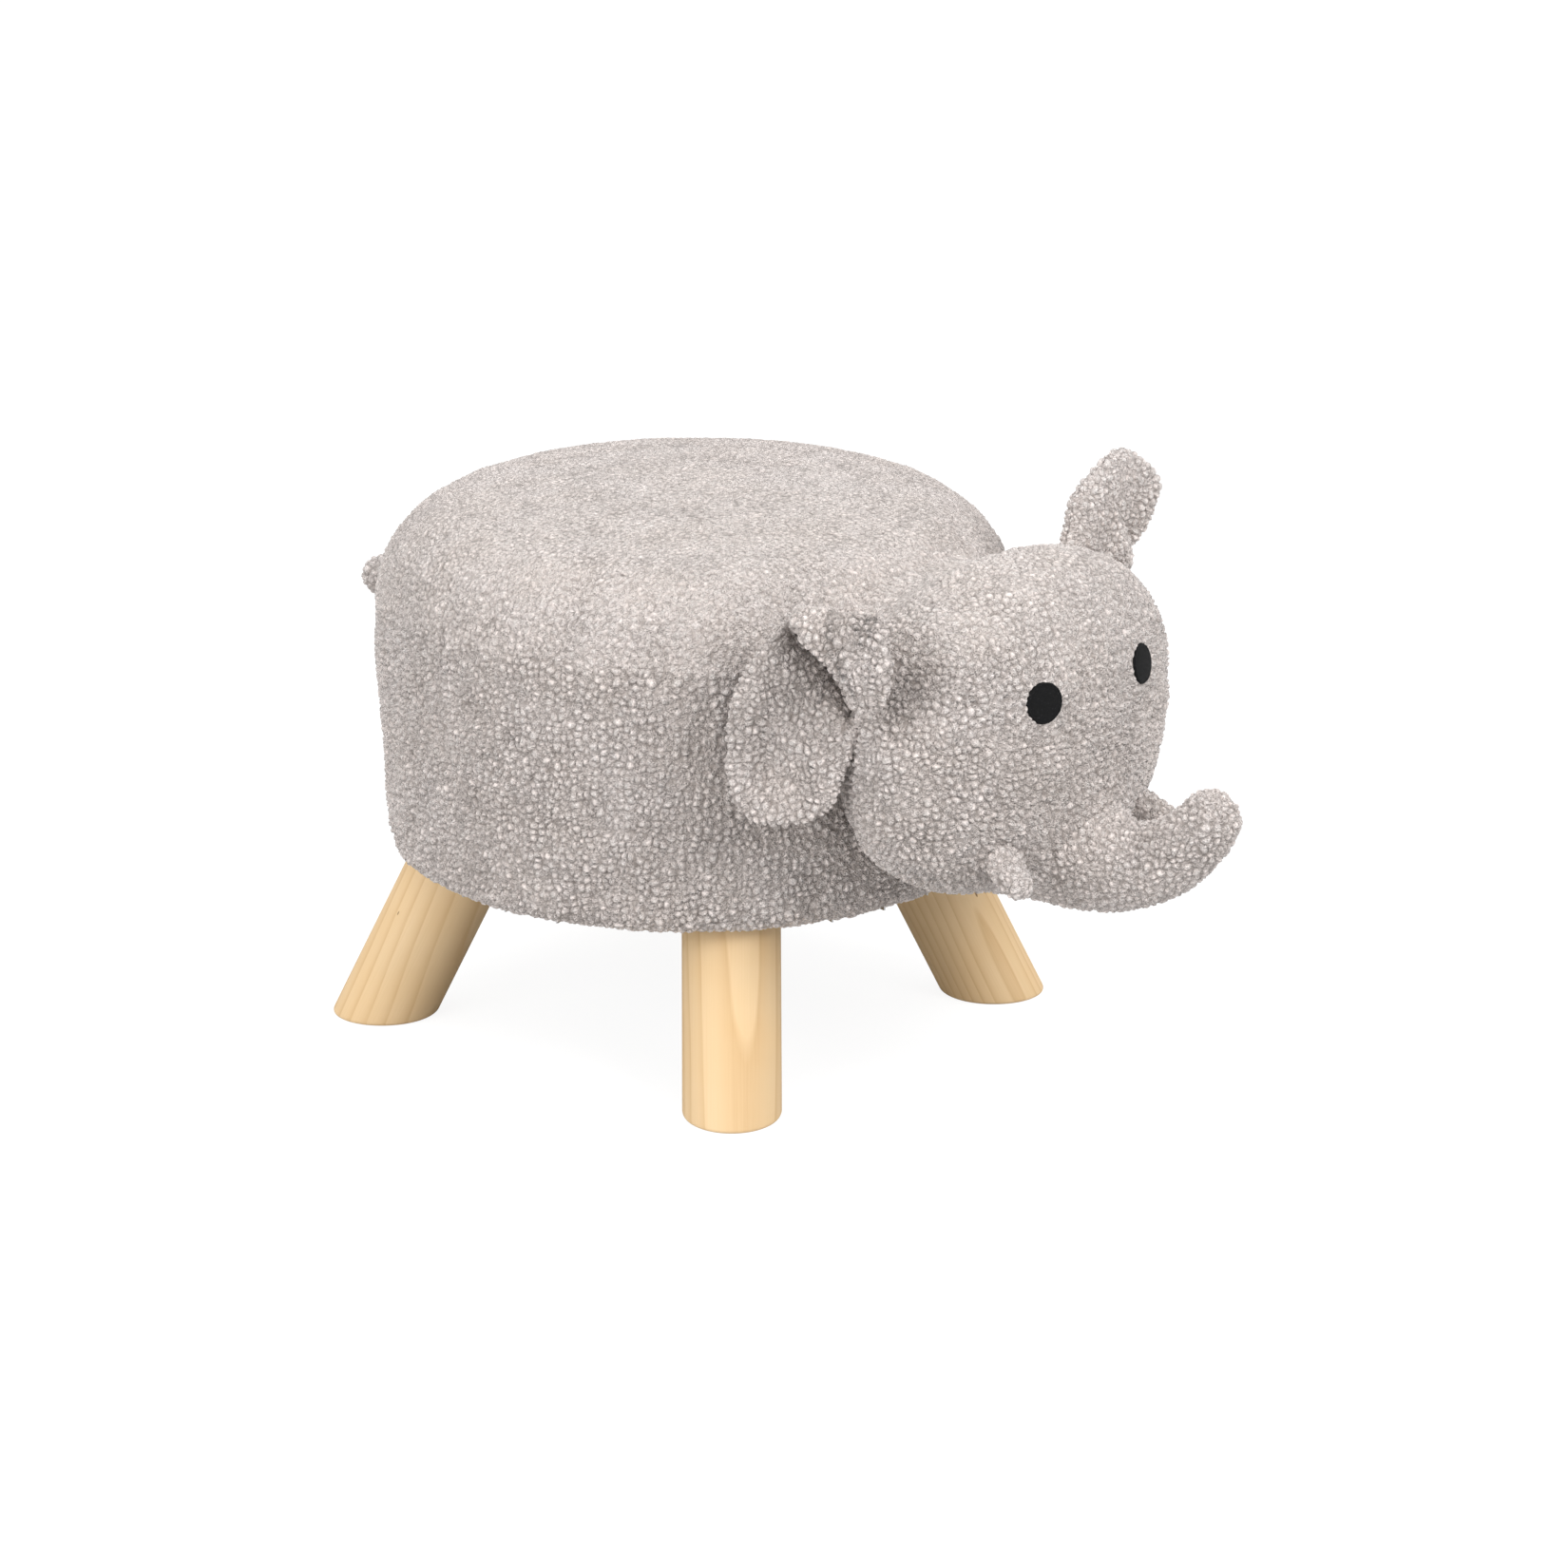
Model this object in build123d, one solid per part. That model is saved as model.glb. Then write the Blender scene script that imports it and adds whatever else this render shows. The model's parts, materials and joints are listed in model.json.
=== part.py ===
from build123d import *
import math
import os

# An upholstered elephant footstool. Millimetres. The elephant faces -Y, its left side is +X
# and it stands on Z = 0. The origin is on the floor, under the middle of the whole stool.

# ---- driving dimensions ----

# Seat drum
seat_radius = 144.0
seat_center_y = 51.0
crown_height = 252.0
crown_rise = 10.0
seat_edge_radius = 38.0
cover_bottom = 83.0
cover_thickness = 4.0
hem_width = 14.0
seam_below_crown = 46.0

# Wooden frame inside the drum
board_thickness = 12.0
wadding_thickness = 6.0
foam_thickness = 40.0
wall_thickness = 4.5
post_width = 30.0
post_inset = 46.0

# Underside
dust_cover_thickness = 1.0
dust_cover_ease = 0.4
staple_wire = 0.8
staple_crown = 7.0
staple_depth = 7.0
staples_between_legs = 4
staple_spacing = 12.0

# Legs
leg_radius = 22.0
foot_inset_side = 45.5
foot_inset_end = 40.5
foot_set_back = 4.0
leg_splay = 26.2
leg_turn = -6.3
foot_chamfer = 1.2

# Screws
screw_radius = 2.2
screw_length = 42.0
screw_head_radius = 4.4
screw_head_height = 2.6
screw_clearance = 0.3
leg_screw_spacing = 18.0
leg_screw_offset = 5.0

# Head
head_half_width = 102.0
head_half_depth = 49.5
head_half_height = 75.5
head_stand_off = 32.0
head_center_z = 173.0
head_sections = 11

# Trunk
trunk_bend_radius = 63.0
trunk_bend_forward = 51.0
trunk_bend_rise = 8.0
trunk_root_angle = 285.0
trunk_tip_angle = 210.0
trunk_root_radius = 24.0
trunk_tip_radius = 14.0
trunk_sections = 7
trunk_swing = 10.0
trunk_mouth_depth = 30.0

# Ears
ear_panel_thickness = 4.5
ear_set_back = 8.0
ear_left_station = 43.0
ear_left_radius = 34.5
ear_left_reach = 20.0
ear_left_root_length = 40.0
ear_right_rise = 20.0
ear_right_yaw = 18.4
ear_right_root_bottom = -6.0
ear_right_root_top = 28.0
ear_lobe_radius = 28.0
ear_lobe_back = 38.0
ear_lobe_drop = 24.0
ear_crown_radius = 28.0
ear_crown_back = 30.0
ear_crown_rise = 16.0
ear_fold_gap = 4.0
ear_fold_height = 37.0
ear_flap_radius = 14.0
ear_flap_tip_radius = 6.0

# Tusks, eyes and tail
tusk_spread = 53.0
tusk_drop = 39.0
tusk_out = 2.0
tusk_forward = 12.0
tusk_down = 12.0
tusk_root_radius = 8.5
tusk_tip_radius = 7.2
eye_spread = 36.9
eye_rise = 24.6
eye_radius = 9.0
eye_thickness = 1.2
tail_below_seam = 18.0
tail_length = 32.0
tail_droop = 10.0
tail_sideways = 12.0
tail_root_radius = 6.0
tail_tip_radius = 9.0

# Space left between soft pieces that move against each other
soft_gap = 0.3

# ---- sizes that follow ----

seam_height = crown_height - seam_below_crown
inner_radius = seat_radius - cover_thickness
inner_bottom = cover_bottom + cover_thickness
inner_crown = crown_height - cover_thickness
board_radius = inner_radius - wadding_thickness
lower_board_top = inner_bottom + board_thickness
upper_board_top = inner_crown - foam_thickness
upper_board_bottom = upper_board_top - board_thickness
hem_radius = seat_radius - hem_width
leg_top = inner_bottom - dust_cover_thickness
post_ring_radius = board_radius - post_inset
foot_half_track = seat_radius - foot_inset_side
foot_half_base = seat_radius - foot_inset_end
foot_center_y = seat_center_y + foot_set_back
head_center_y = seat_center_y - seat_radius - head_stand_off
trunk_bend_center_y = head_center_y - trunk_bend_forward
trunk_bend_center_z = head_center_z + trunk_bend_rise
ear_plane_y = head_center_y + ear_set_back
ear_right_root_height = head_center_z + ear_right_rise
tusk_height = head_center_z - tusk_drop
eye_height = head_center_z + eye_rise
tail_root_height = seam_height - tail_below_seam
ear_thickness = 2 * ear_panel_thickness

leg_places = {
    "front_left": (1, -1),
    "front_right": (-1, -1),
    "rear_left": (1, 1),
    "rear_right": (-1, 1),
}
post_directions = {"front": 270.0, "rear": 90.0, "left": 0.0, "right": 180.0}
sides = {"left": 1, "right": -1}


# ---- helpers ----


def disc(radius, bottom, top, x=0.0, y=seat_center_y):
    """A round upright slab between two heights."""
    slab = Cylinder(radius, top - bottom, align=(Align.CENTER, Align.CENTER, Align.MIN))
    return Pos(x, y, bottom) * slab


def drum(radius, bottom, crown, edge_radius, lower_edge_radius):
    """The padded seat: upright side, large rounded upper edge and slightly domed top."""
    rim = crown - crown_rise
    dome_radius = (radius**2 + crown_rise**2) / (2 * crown_rise)
    half = radius / 2
    half_height = crown - dome_radius + math.sqrt(dome_radius**2 - half**2)
    outline = (
        Line((0, bottom), (radius, bottom))
        + Line((radius, bottom), (radius, rim))
        + ThreePointArc((radius, rim), (half, half_height), (0, crown))
        + Line((0, crown), (0, bottom))
    )
    profile = make_face(outline)
    upper_corner = profile.vertices().sort_by_distance(Vector(radius, rim, 0))[0]
    profile = fillet(upper_corner, edge_radius)
    lower_corner = profile.vertices().sort_by_distance(Vector(radius, bottom, 0))[0]
    profile = fillet(lower_corner, lower_edge_radius)
    return Pos(0, seat_center_y, 0) * revolve(Plane.XZ * profile, Axis.Z)


def capsule(start, start_radius, end, end_radius):
    """A tapered bar with a ball at each end, tangent to both balls."""
    line = end - start
    lean = (start_radius - end_radius) / line.length
    slope = math.sqrt(1 - lean**2)
    along = line.normalized()
    base = start + along * (start_radius * lean)
    height = line.length + (end_radius - start_radius) * lean
    bar = Cone(
        start_radius * slope,
        end_radius * slope,
        height,
        align=(Align.CENTER, Align.CENTER, Align.MIN),
    )
    bar = Plane(origin=base, z_dir=along) * bar
    return Pos(start) * Sphere(start_radius) + bar + Pos(end) * Sphere(end_radius)


def screw(seat, direction, clearance=0.0, length=screw_length):
    """A countersunk wood screw, its head flush with seat, or the cutter that clears it."""
    head = Cone(
        screw_head_radius,
        screw_radius,
        screw_head_height,
        align=(Align.CENTER, Align.CENTER, Align.MIN),
    )
    shank = Cylinder(
        screw_radius + clearance,
        length,
        align=(Align.CENTER, Align.CENTER, Align.MIN),
    )
    return Plane(origin=seat, z_dir=direction) * (head + shank)


def unit(x, y, z):
    """A direction of length one."""
    return Vector(x, y, z).normalized()


# ---- seat drum: cover, padding and frame ----

cover_outside = drum(
    seat_radius,
    cover_bottom,
    crown_height,
    seat_edge_radius,
    wadding_thickness + cover_thickness,
)
cover_inside = drum(
    inner_radius,
    inner_bottom,
    inner_crown,
    seat_edge_radius - cover_thickness,
    wadding_thickness,
)
cover = cover_outside - cover_inside - disc(hem_radius, cover_bottom, inner_bottom)
below_seam = disc(2 * seat_radius, 0, seam_height)
below_foam = disc(2 * seat_radius, 0, upper_board_top)

parts = {}
parts["cover_top_panel"] = cover - below_seam
parts["cover_side_band"] = cover & below_seam
parts["seat_foam"] = cover_inside - below_foam
parts["side_wadding"] = (cover_inside & below_foam) - disc(
    board_radius, inner_bottom, upper_board_top
)
parts["barrel_wall"] = disc(board_radius, lower_board_top, upper_board_bottom) - disc(
    board_radius - wall_thickness, lower_board_top, upper_board_bottom
)

lower_board = disc(board_radius, inner_bottom, lower_board_top)
upper_board = disc(board_radius, upper_board_bottom, upper_board_top)
dust_cover = disc(hem_radius - dust_cover_ease, leg_top, inner_bottom)


# ---- posts between the boards, each held by a screw at both ends ----

post_screws = []
for name, angle in post_directions.items():
    x = post_ring_radius * math.cos(math.radians(angle))
    y = seat_center_y + post_ring_radius * math.sin(math.radians(angle))
    post = Pos(x, y, lower_board_top) * Box(
        post_width,
        post_width,
        upper_board_bottom - lower_board_top,
        align=(Align.CENTER, Align.CENTER, Align.MIN),
    )
    ends = [
        (Vector(x, y, inner_bottom), Vector(0, 0, 1)),
        (Vector(x, y, upper_board_top), Vector(0, 0, -1)),
    ]
    for seat, direction in ends:
        post -= screw(seat, direction)
        post_screws.append(screw(seat, direction))
        clearance_hole = screw(seat, direction, screw_clearance, board_thickness)
        lower_board -= clearance_hole
        upper_board -= clearance_hole
    parts["post_" + name] = post


# ---- legs: splayed dowels, cut flat at the floor and under the board ----

leg_screws = []
leg_directions = []
for name, (side, end) in leg_places.items():
    direction = math.atan2(end, side) + math.radians(leg_turn)
    outwards = Vector(math.cos(direction), math.sin(direction), 0)
    sideways = Vector(-math.sin(direction), math.cos(direction), 0)
    leg_directions.append(math.degrees(direction))
    foot = Vector(side * foot_half_track, foot_center_y + end * foot_half_base, 0)
    upwards = Vector(0, 0, 1) - outwards * math.tan(math.radians(leg_splay))
    dowel = Plane(origin=foot, z_dir=upwards) * Cylinder(leg_radius, 4 * leg_top)
    leg = dowel & disc(4 * seat_radius, 0, leg_top)
    leg = chamfer(leg.edges().group_by(Axis.Z)[0], foot_chamfer)
    top_center = foot + upwards * leg_top
    for place in (-0.5, 0.5):
        spot = top_center + outwards * leg_screw_offset + sideways * (place * leg_screw_spacing)
        seat = Vector(spot.X, spot.Y, lower_board_top)
        down = Vector(0, 0, -1)
        leg -= screw(seat, down)
        leg_screws.append(screw(seat, down))
        clearance_hole = screw(seat, down, screw_clearance, lower_board_top - leg_top)
        lower_board -= clearance_hole
        dust_cover -= clearance_hole
    parts["leg_" + name] = leg

parts["bottom_board"] = lower_board
parts["top_board"] = upper_board
parts["dust_cover"] = dust_cover
parts["post_screws"] = Compound(children=post_screws)
parts["leg_screws"] = Compound(children=leg_screws)


# ---- staples across the edge of the dust cover, in the four gaps between the legs ----

staples = []
crown_bottom = cover_bottom - staple_wire
for leg_direction in leg_directions:
    for number in range(staples_between_legs):
        step = number - (staples_between_legs - 1) / 2
        angle = leg_direction + 45.0 + step * staple_spacing
        crown = Pos(hem_radius, 0, crown_bottom) * Box(
            staple_crown,
            staple_wire,
            staple_wire,
            align=(Align.CENTER, Align.CENTER, Align.MIN),
        )
        staple = crown
        for place in (-0.5, 0.5):
            x = hem_radius + place * (staple_crown - staple_wire)
            staple += Pos(x, 0, crown_bottom) * Box(
                staple_wire,
                staple_wire,
                staple_depth,
                align=(Align.CENTER, Align.CENTER, Align.MIN),
            )
        staples.append(Pos(0, seat_center_y, 0) * Rot(0, 0, angle) * staple)
parts["cover_staples"] = Compound(children=staples)


# ---- head: stuffed plush, sewn to the front of the side band ----


def head_form(inset=0.0):
    """The head's rounded form, wider than it is high, lofted through ellipses from front to back."""
    half_width = head_half_width - inset
    half_depth = head_half_depth - inset
    half_height = head_half_height - inset
    sections = [Vertex(0, -half_depth, 0)]
    for number in range(1, head_sections):
        turn = math.pi * (number / head_sections - 0.5)
        level = Plane(origin=(0, half_depth * math.sin(turn), 0), x_dir=(1, 0, 0), z_dir=(0, 1, 0))
        share = math.cos(turn)
        sections.append(level * Ellipse(half_width * share, half_height * share))
    sections.append(Vertex(0, half_depth, 0))
    return Pos(0, head_center_y, head_center_z) * loft(sections)


def head_normal(point):
    """The direction that points straight out of the head at a point on it."""
    return unit(
        point.X / head_half_width**2,
        (point.Y - head_center_y) / head_half_depth**2,
        (point.Z - head_center_z) / head_half_height**2,
    )


def head_front(x, z):
    """The point on the front of the head at a given x and z."""
    rest = 1 - (x / head_half_width) ** 2 - ((z - head_center_z) / head_half_height) ** 2
    return Vector(x, head_center_y - head_half_depth * math.sqrt(rest), z)


def trunk_point(angle):
    """A point on the trunk's centre line, which is an arc in the plane X = 0."""
    turn = math.radians(angle)
    return Vector(
        0,
        trunk_bend_center_y + trunk_bend_radius * math.cos(turn),
        trunk_bend_center_z + trunk_bend_radius * math.sin(turn),
    )


def trunk_direction(angle):
    """The way the trunk runs at a point of its arc, from root to tip."""
    turn = math.radians(angle)
    return Vector(0, math.sin(turn), -math.cos(turn))


def swing_room(center, radius, direction, swing, depth):
    """A ball, and the cone tangent to it that a round bar of the same radius swings in."""
    lean = math.radians(swing)
    start = -radius * math.sin(lean)
    mouth = Cone(
        radius * math.cos(lean),
        radius / math.cos(lean) + depth * math.tan(lean),
        depth - start,
        align=(Align.CENTER, Align.CENTER, Align.MIN),
    )
    mouth = Plane(origin=center + direction * start, z_dir=direction) * mouth
    return Pos(center) * Sphere(radius) + mouth


trunk_root = trunk_point(trunk_root_angle)
socket = swing_room(
    trunk_root,
    trunk_root_radius + soft_gap,
    trunk_direction(trunk_root_angle),
    trunk_swing,
    trunk_mouth_depth,
)
head_outside = head_form()
head_inside = head_form(cover_thickness)
head_cover = head_outside - head_inside - cover_outside - socket
head_filling = head_inside - cover_outside - socket


# ---- trunk: a tapered tube on the arc, with a ball at its root that turns in the head ----


def trunk_form(inset=0.0):
    """The trunk's tube from root to tip, inset on all sides."""
    rings = []
    for number in range(trunk_sections):
        share = number / (trunk_sections - 1)
        angle = trunk_root_angle + share * (trunk_tip_angle - trunk_root_angle)
        radius = trunk_root_radius + share * (trunk_tip_radius - trunk_root_radius) - inset
        level = Plane(origin=trunk_point(angle), z_dir=trunk_direction(angle))
        rings.append(level * Circle(radius))
    tube = loft(rings)
    root_ball = Pos(trunk_root) * Sphere(trunk_root_radius - inset)
    tip_ball = Pos(trunk_point(trunk_tip_angle)) * Sphere(trunk_tip_radius - inset)
    return tube + root_ball + tip_ball


trunk_inside = trunk_form(cover_thickness)
parts["trunk_cover"] = trunk_form() - trunk_inside
parts["trunk_filling"] = trunk_inside
parts["head_cover"] = head_cover
parts["head_filling"] = head_filling


# ---- tusks and eyes ----

for side_name, side in sides.items():
    root = head_front(side * tusk_spread, tusk_height)
    tip = root + Vector(side * tusk_out, -tusk_forward, -tusk_down)
    tusk = capsule(root, tusk_root_radius, tip, tusk_tip_radius)
    parts["tusk_" + side_name] = tusk - head_outside - socket

    eye_center = head_front(side * eye_spread, eye_height)
    patch = Plane(origin=eye_center, z_dir=head_normal(eye_center)) * Cylinder(
        eye_radius, 4 * eye_thickness
    )
    parts["eye_" + side_name] = (patch & head_form(-eye_thickness)) - head_outside


# ---- left ear: stands up, its root seam along the upper corner of the head ----

depth_share = math.sqrt(1 - ((ear_plane_y - head_center_y) / head_half_depth) ** 2)
station = math.radians(ear_left_station)
left_contact = Vector(
    head_half_width * depth_share * math.cos(station),
    ear_plane_y,
    head_center_z + head_half_height * depth_share * math.sin(station),
)
left_out = unit(math.cos(station) / head_half_width, 0, math.sin(station) / head_half_height)
left_along = Vector(left_out.Z, 0, -left_out.X)
left_root = left_contact + left_out * (ear_panel_thickness + 2 * soft_gap)
left_frame = Plane(origin=left_root, x_dir=left_along, z_dir=(0, -1, 0))

petal = Pos(0, ear_left_reach - ear_panel_thickness) * Circle(ear_left_radius)
root_roll = Rot(0, 90, 0) * Cylinder(ear_panel_thickness, ear_left_root_length)
above_root = Pos(0, 2 * ear_left_radius) * Rectangle(4 * ear_left_radius, 4 * ear_left_radius)
above_roll = Pos(0, ear_panel_thickness) * above_root
ear_outer = extrude(petal & above_root, -ear_panel_thickness) + root_roll
ear_lining = extrude(petal & above_roll, ear_panel_thickness)
parts["ear_left_outer"] = left_frame * ear_outer
parts["ear_left_lining"] = left_frame * ear_lining


# ---- right ear: hangs back from its root, with its top folded over to the outside ----

right_share = math.sqrt(
    1
    - ((ear_plane_y - head_center_y) / head_half_depth) ** 2
    - ((ear_right_root_height - head_center_z) / head_half_height) ** 2
)
right_contact = Vector(-head_half_width * right_share, ear_plane_y, ear_right_root_height)
right_out = head_normal(right_contact)
right_up = (Vector(0, 0, 1) - right_out * right_out.Z).normalized()
yaw = math.radians(ear_right_yaw)
inwards = Vector(math.cos(yaw), math.sin(yaw), 0)
inwards = (inwards - right_up * inwards.dot(right_up)).normalized()
right_root = right_contact + right_out * (ear_panel_thickness + 2 * soft_gap)
right_frame = Plane(origin=right_root, x_dir=right_up.cross(inwards), z_dir=inwards)

flap_level = -(ear_thickness + ear_fold_gap)
fold_center = Vector(0, ear_fold_height, flap_level / 2)
lobe = make_hull(
    (
        Circle(ear_panel_thickness)
        + Pos(ear_panel_thickness, ear_fold_height) * Circle(ear_panel_thickness)
        + Pos(ear_lobe_back, -ear_lobe_drop) * Circle(ear_lobe_radius)
        + Pos(ear_crown_back, ear_crown_rise) * Circle(ear_crown_radius)
    ).edges()
)
flap = make_hull(
    (
        Pos(0, 2 * ear_flap_tip_radius) * Circle(ear_flap_tip_radius)
        + Pos(ear_flap_tip_radius / 2, ear_fold_height - ear_panel_thickness)
        * Circle(ear_flap_radius)
        + Pos(ear_crown_back - ear_flap_tip_radius, ear_fold_height) * Circle(ear_flap_tip_radius)
    ).edges()
)
below_fold = Pos(0, ear_fold_height - 4 * ear_crown_radius) * Rectangle(
    8 * ear_crown_radius, 8 * ear_crown_radius
)
behind_root = Pos(4 * ear_crown_radius, 0) * Rectangle(8 * ear_crown_radius, 8 * ear_crown_radius)
roll_middle = (ear_right_root_top + ear_right_root_bottom) / 2
roll_length = ear_right_root_top - ear_right_root_bottom
right_roll = Pos(0, roll_middle, 0) * Rot(90, 0, 0) * Cylinder(ear_panel_thickness, roll_length)


def fold_over(inner_radius_, outer_radius_):
    """Half a tube along the ear's top edge, from the lobe's level over to the flap's."""
    tube = Cylinder(outer_radius_, ear_crown_back) - Cylinder(inner_radius_, ear_crown_back)
    tube = Pos(ear_crown_back / 2, 0, 0) * Rot(0, 90, 0) * tube
    upper = Pos(0, 2 * outer_radius_, 0) * Box(
        4 * ear_crown_back, 4 * outer_radius_, 4 * outer_radius_
    )
    return Pos(fold_center) * (tube & upper)


middle_radius = -flap_level / 2
inner_fold = middle_radius - ear_panel_thickness
outer_fold = middle_radius + ear_panel_thickness
lobe_face = lobe & below_fold & behind_root
flap_face = flap & below_fold
right_outer = (
    extrude(lobe_face, ear_panel_thickness)
    + fold_over(middle_radius, outer_fold)
    + extrude(Pos(0, 0, flap_level) * flap_face, -ear_panel_thickness)
    + right_roll
)
right_lining = (
    extrude(lobe_face, -ear_panel_thickness)
    + fold_over(inner_fold, middle_radius)
    + extrude(Pos(0, 0, flap_level) * flap_face, ear_panel_thickness)
    - right_roll
)
parts["ear_right_outer"] = right_frame * right_outer
parts["ear_right_lining"] = right_frame * right_lining


# ---- tail: a small stuffed tail that hangs back from the side band ----

tail_root = Vector(
    0, seat_center_y + seat_radius + tail_root_radius + soft_gap, tail_root_height
)
tail_tip = tail_root + Vector(-tail_sideways, tail_length, -tail_droop)
parts["tail"] = capsule(tail_root, tail_root_radius, tail_tip, tail_tip_radius)


os.makedirs("parts", exist_ok=True)
for name, shape in parts.items():
    export_step(shape, "parts/" + name + ".step")

print("ear_left hinge", left_root, "along", left_along)
print("ear_right hinge", right_root, "along", right_up)
print("trunk hinge", trunk_root)
print("tail hinge", tail_root)
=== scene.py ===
import json
import math
import bpy
import numpy as np
from mathutils import Matrix, Vector


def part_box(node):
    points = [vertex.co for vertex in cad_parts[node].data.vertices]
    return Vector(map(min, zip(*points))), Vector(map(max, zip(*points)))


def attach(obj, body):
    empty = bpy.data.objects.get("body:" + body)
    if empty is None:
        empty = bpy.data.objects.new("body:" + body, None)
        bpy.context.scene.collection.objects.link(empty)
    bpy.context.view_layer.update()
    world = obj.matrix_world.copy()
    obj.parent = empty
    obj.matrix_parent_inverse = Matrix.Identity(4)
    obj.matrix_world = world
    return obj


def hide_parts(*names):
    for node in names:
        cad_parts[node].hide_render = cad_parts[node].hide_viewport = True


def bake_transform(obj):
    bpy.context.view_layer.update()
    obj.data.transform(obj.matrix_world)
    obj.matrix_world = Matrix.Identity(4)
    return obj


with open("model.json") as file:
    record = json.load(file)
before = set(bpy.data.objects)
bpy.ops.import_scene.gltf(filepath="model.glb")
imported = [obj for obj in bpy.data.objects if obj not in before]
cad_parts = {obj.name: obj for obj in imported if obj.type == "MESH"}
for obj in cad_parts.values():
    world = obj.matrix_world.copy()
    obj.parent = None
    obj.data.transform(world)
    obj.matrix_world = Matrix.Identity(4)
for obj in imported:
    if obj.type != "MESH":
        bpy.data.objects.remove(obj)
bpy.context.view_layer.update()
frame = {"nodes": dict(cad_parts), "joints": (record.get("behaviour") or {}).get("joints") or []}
print("frame:", len(frame["nodes"]), "nodes")

# Shapes are worked out in millimetres and written into the meshes in metres.
mm = 0.001


def nodeBox(name):
    low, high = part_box(name)
    return np.array(low) / mm, np.array(high) / mm


def jointPlace(name):
    joint = [j for j in frame["joints"] if j["name"] == name][0]
    return np.array(joint["pos_m"]) / mm, np.array(joint["axis"])


bandLow, bandHigh = nodeBox("cover_side_band")
headLow, headHigh = nodeBox("head_cover")
seatRadius = (bandHigh[0] - bandLow[0]) / 2
seatY = (bandHigh[1] + bandLow[1]) / 2
seatBottom = bandLow[2]
seamHeight = bandHigh[2]
crownHeight = nodeBox("cover_top_panel")[1][2] - 1.0


# ---- numbers scattered over space ----

def smooth(share):
    share = np.clip(share, 0, 1)
    return share * share * (3 - 2 * share)


def mixed(cells, seed):
    # one well stirred whole number for each cell of a lattice
    x, y, z = (cells[..., i].astype(np.int64) for i in range(3))
    number = x * 73856093 ^ y * 19349663 ^ z * 83492791 ^ seed * 40503
    number = (number ^ (number >> 15)) * 2246822519 & 0xFFFFFFFF
    number = (number ^ (number >> 13)) * 3266489917 & 0xFFFFFFFF
    return number ^ (number >> 16)


def noise(points, size, seed):
    # values from -1 to 1 on a lattice of that size, run smoothly into each other
    scaled = points / size
    base = np.floor(scaled)
    part = smooth(scaled - base)
    total = np.zeros(points.shape[:-1])
    for corner in np.ndindex(2, 2, 2):
        weight = np.prod(np.where(corner, part, 1 - part), axis=-1)
        total += weight * ((mixed(base + corner, seed) & 65535) / 32767.5 - 1)
    return total


def cellular(points, size, seed):
    # distances to the nearest and the second nearest of the dots strewn one to a cell, in cells
    scaled = points / size
    base = np.floor(scaled)
    near = np.full(points.shape[:-1], 9.0)
    second = near.copy()
    for step in np.ndindex(3, 3, 3):
        cell = base + np.array(step) - 1
        bits = mixed(cell, seed)
        dot = cell + 0.12 + 0.76 * np.stack([bits & 1023, bits >> 10 & 1023, bits >> 20 & 1023], -1) / 1023
        distance = np.linalg.norm(dot - scaled, axis=-1)
        second = np.minimum(second, np.maximum(near, distance))
        near = np.minimum(near, distance)
    return near, second


def unit(vectors):
    return vectors / np.linalg.norm(vectors, axis=-1, keepdims=True)


def pathLengths(points):
    # distance along a path of straight steps, up to each of its points
    return np.concatenate([[0], np.cumsum(np.linalg.norm(np.diff(points, axis=0), axis=1))])


# ---- meshes ----

def newPatch():
    return {"points": [], "pile": [], "faces": [], "count": 0}


def place(patch, grid, pile=0.5):
    # adds a grid of points and gives their numbers in the same layout
    shape = grid.shape[:-1]
    count = int(np.prod(shape))
    patch["points"].append(grid.reshape(-1, 3))
    patch["pile"].append(np.broadcast_to(pile, shape).reshape(-1))
    index = np.arange(patch["count"], patch["count"] + count).reshape(shape)
    patch["count"] += count
    return index


def cells(patch, index, wrap=False, flip=False):
    # the quads of a grid of point numbers
    if wrap:
        index = np.concatenate([index, index[:, :1]], 1)
    quads = np.stack([index[:-1, :-1], index[:-1, 1:], index[1:, 1:], index[1:, :-1]], -1).reshape(-1, 4)
    patch["faces"].append(quads[:, ::-1] if flip else quads)


def perimeter(index):
    # the ring round a grid, in the order its quads run
    return np.concatenate([index[0, :-1], index[:-1, -1], index[-1, :0:-1], index[:0:-1, 0]])


def lastRing(index):
    return np.roll(index[-1][::-1], 1)


def stitch(patch, fine, coarse):
    # closes the rim between a fine ring and a coarse one that has a point for every few of it
    step = len(fine) // len(coarse)
    following = np.roll(coarse, -1)
    for number in range(step):
        first = fine[number::step]
        then = np.roll(fine, -1)[number::step]
        patch["faces"].append(np.stack([then, first, coarse if number < step // 2 else following], -1))
    patch["faces"].append(np.stack([coarse, following, fine[step // 2::step]], -1))


def shell(outside, inside, pile=0.5, step=4):
    # a fine outer disc grid and a coarse inner one, closed along their rims
    patch = newPatch()
    outer = place(patch, outside, pile)
    inner = place(patch, inside[::step, ::step])
    cells(patch, outer)
    cells(patch, inner, flip=True)
    stitch(patch, perimeter(outer), perimeter(inner))
    return patch


def fan(patch, ring, point):
    # closes a ring with one point
    tip = place(patch, np.asarray(point, float).reshape(1, 3))
    patch["faces"].append(np.stack([np.roll(ring, -1), ring, np.full(len(ring), tip[0])], -1))


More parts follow.
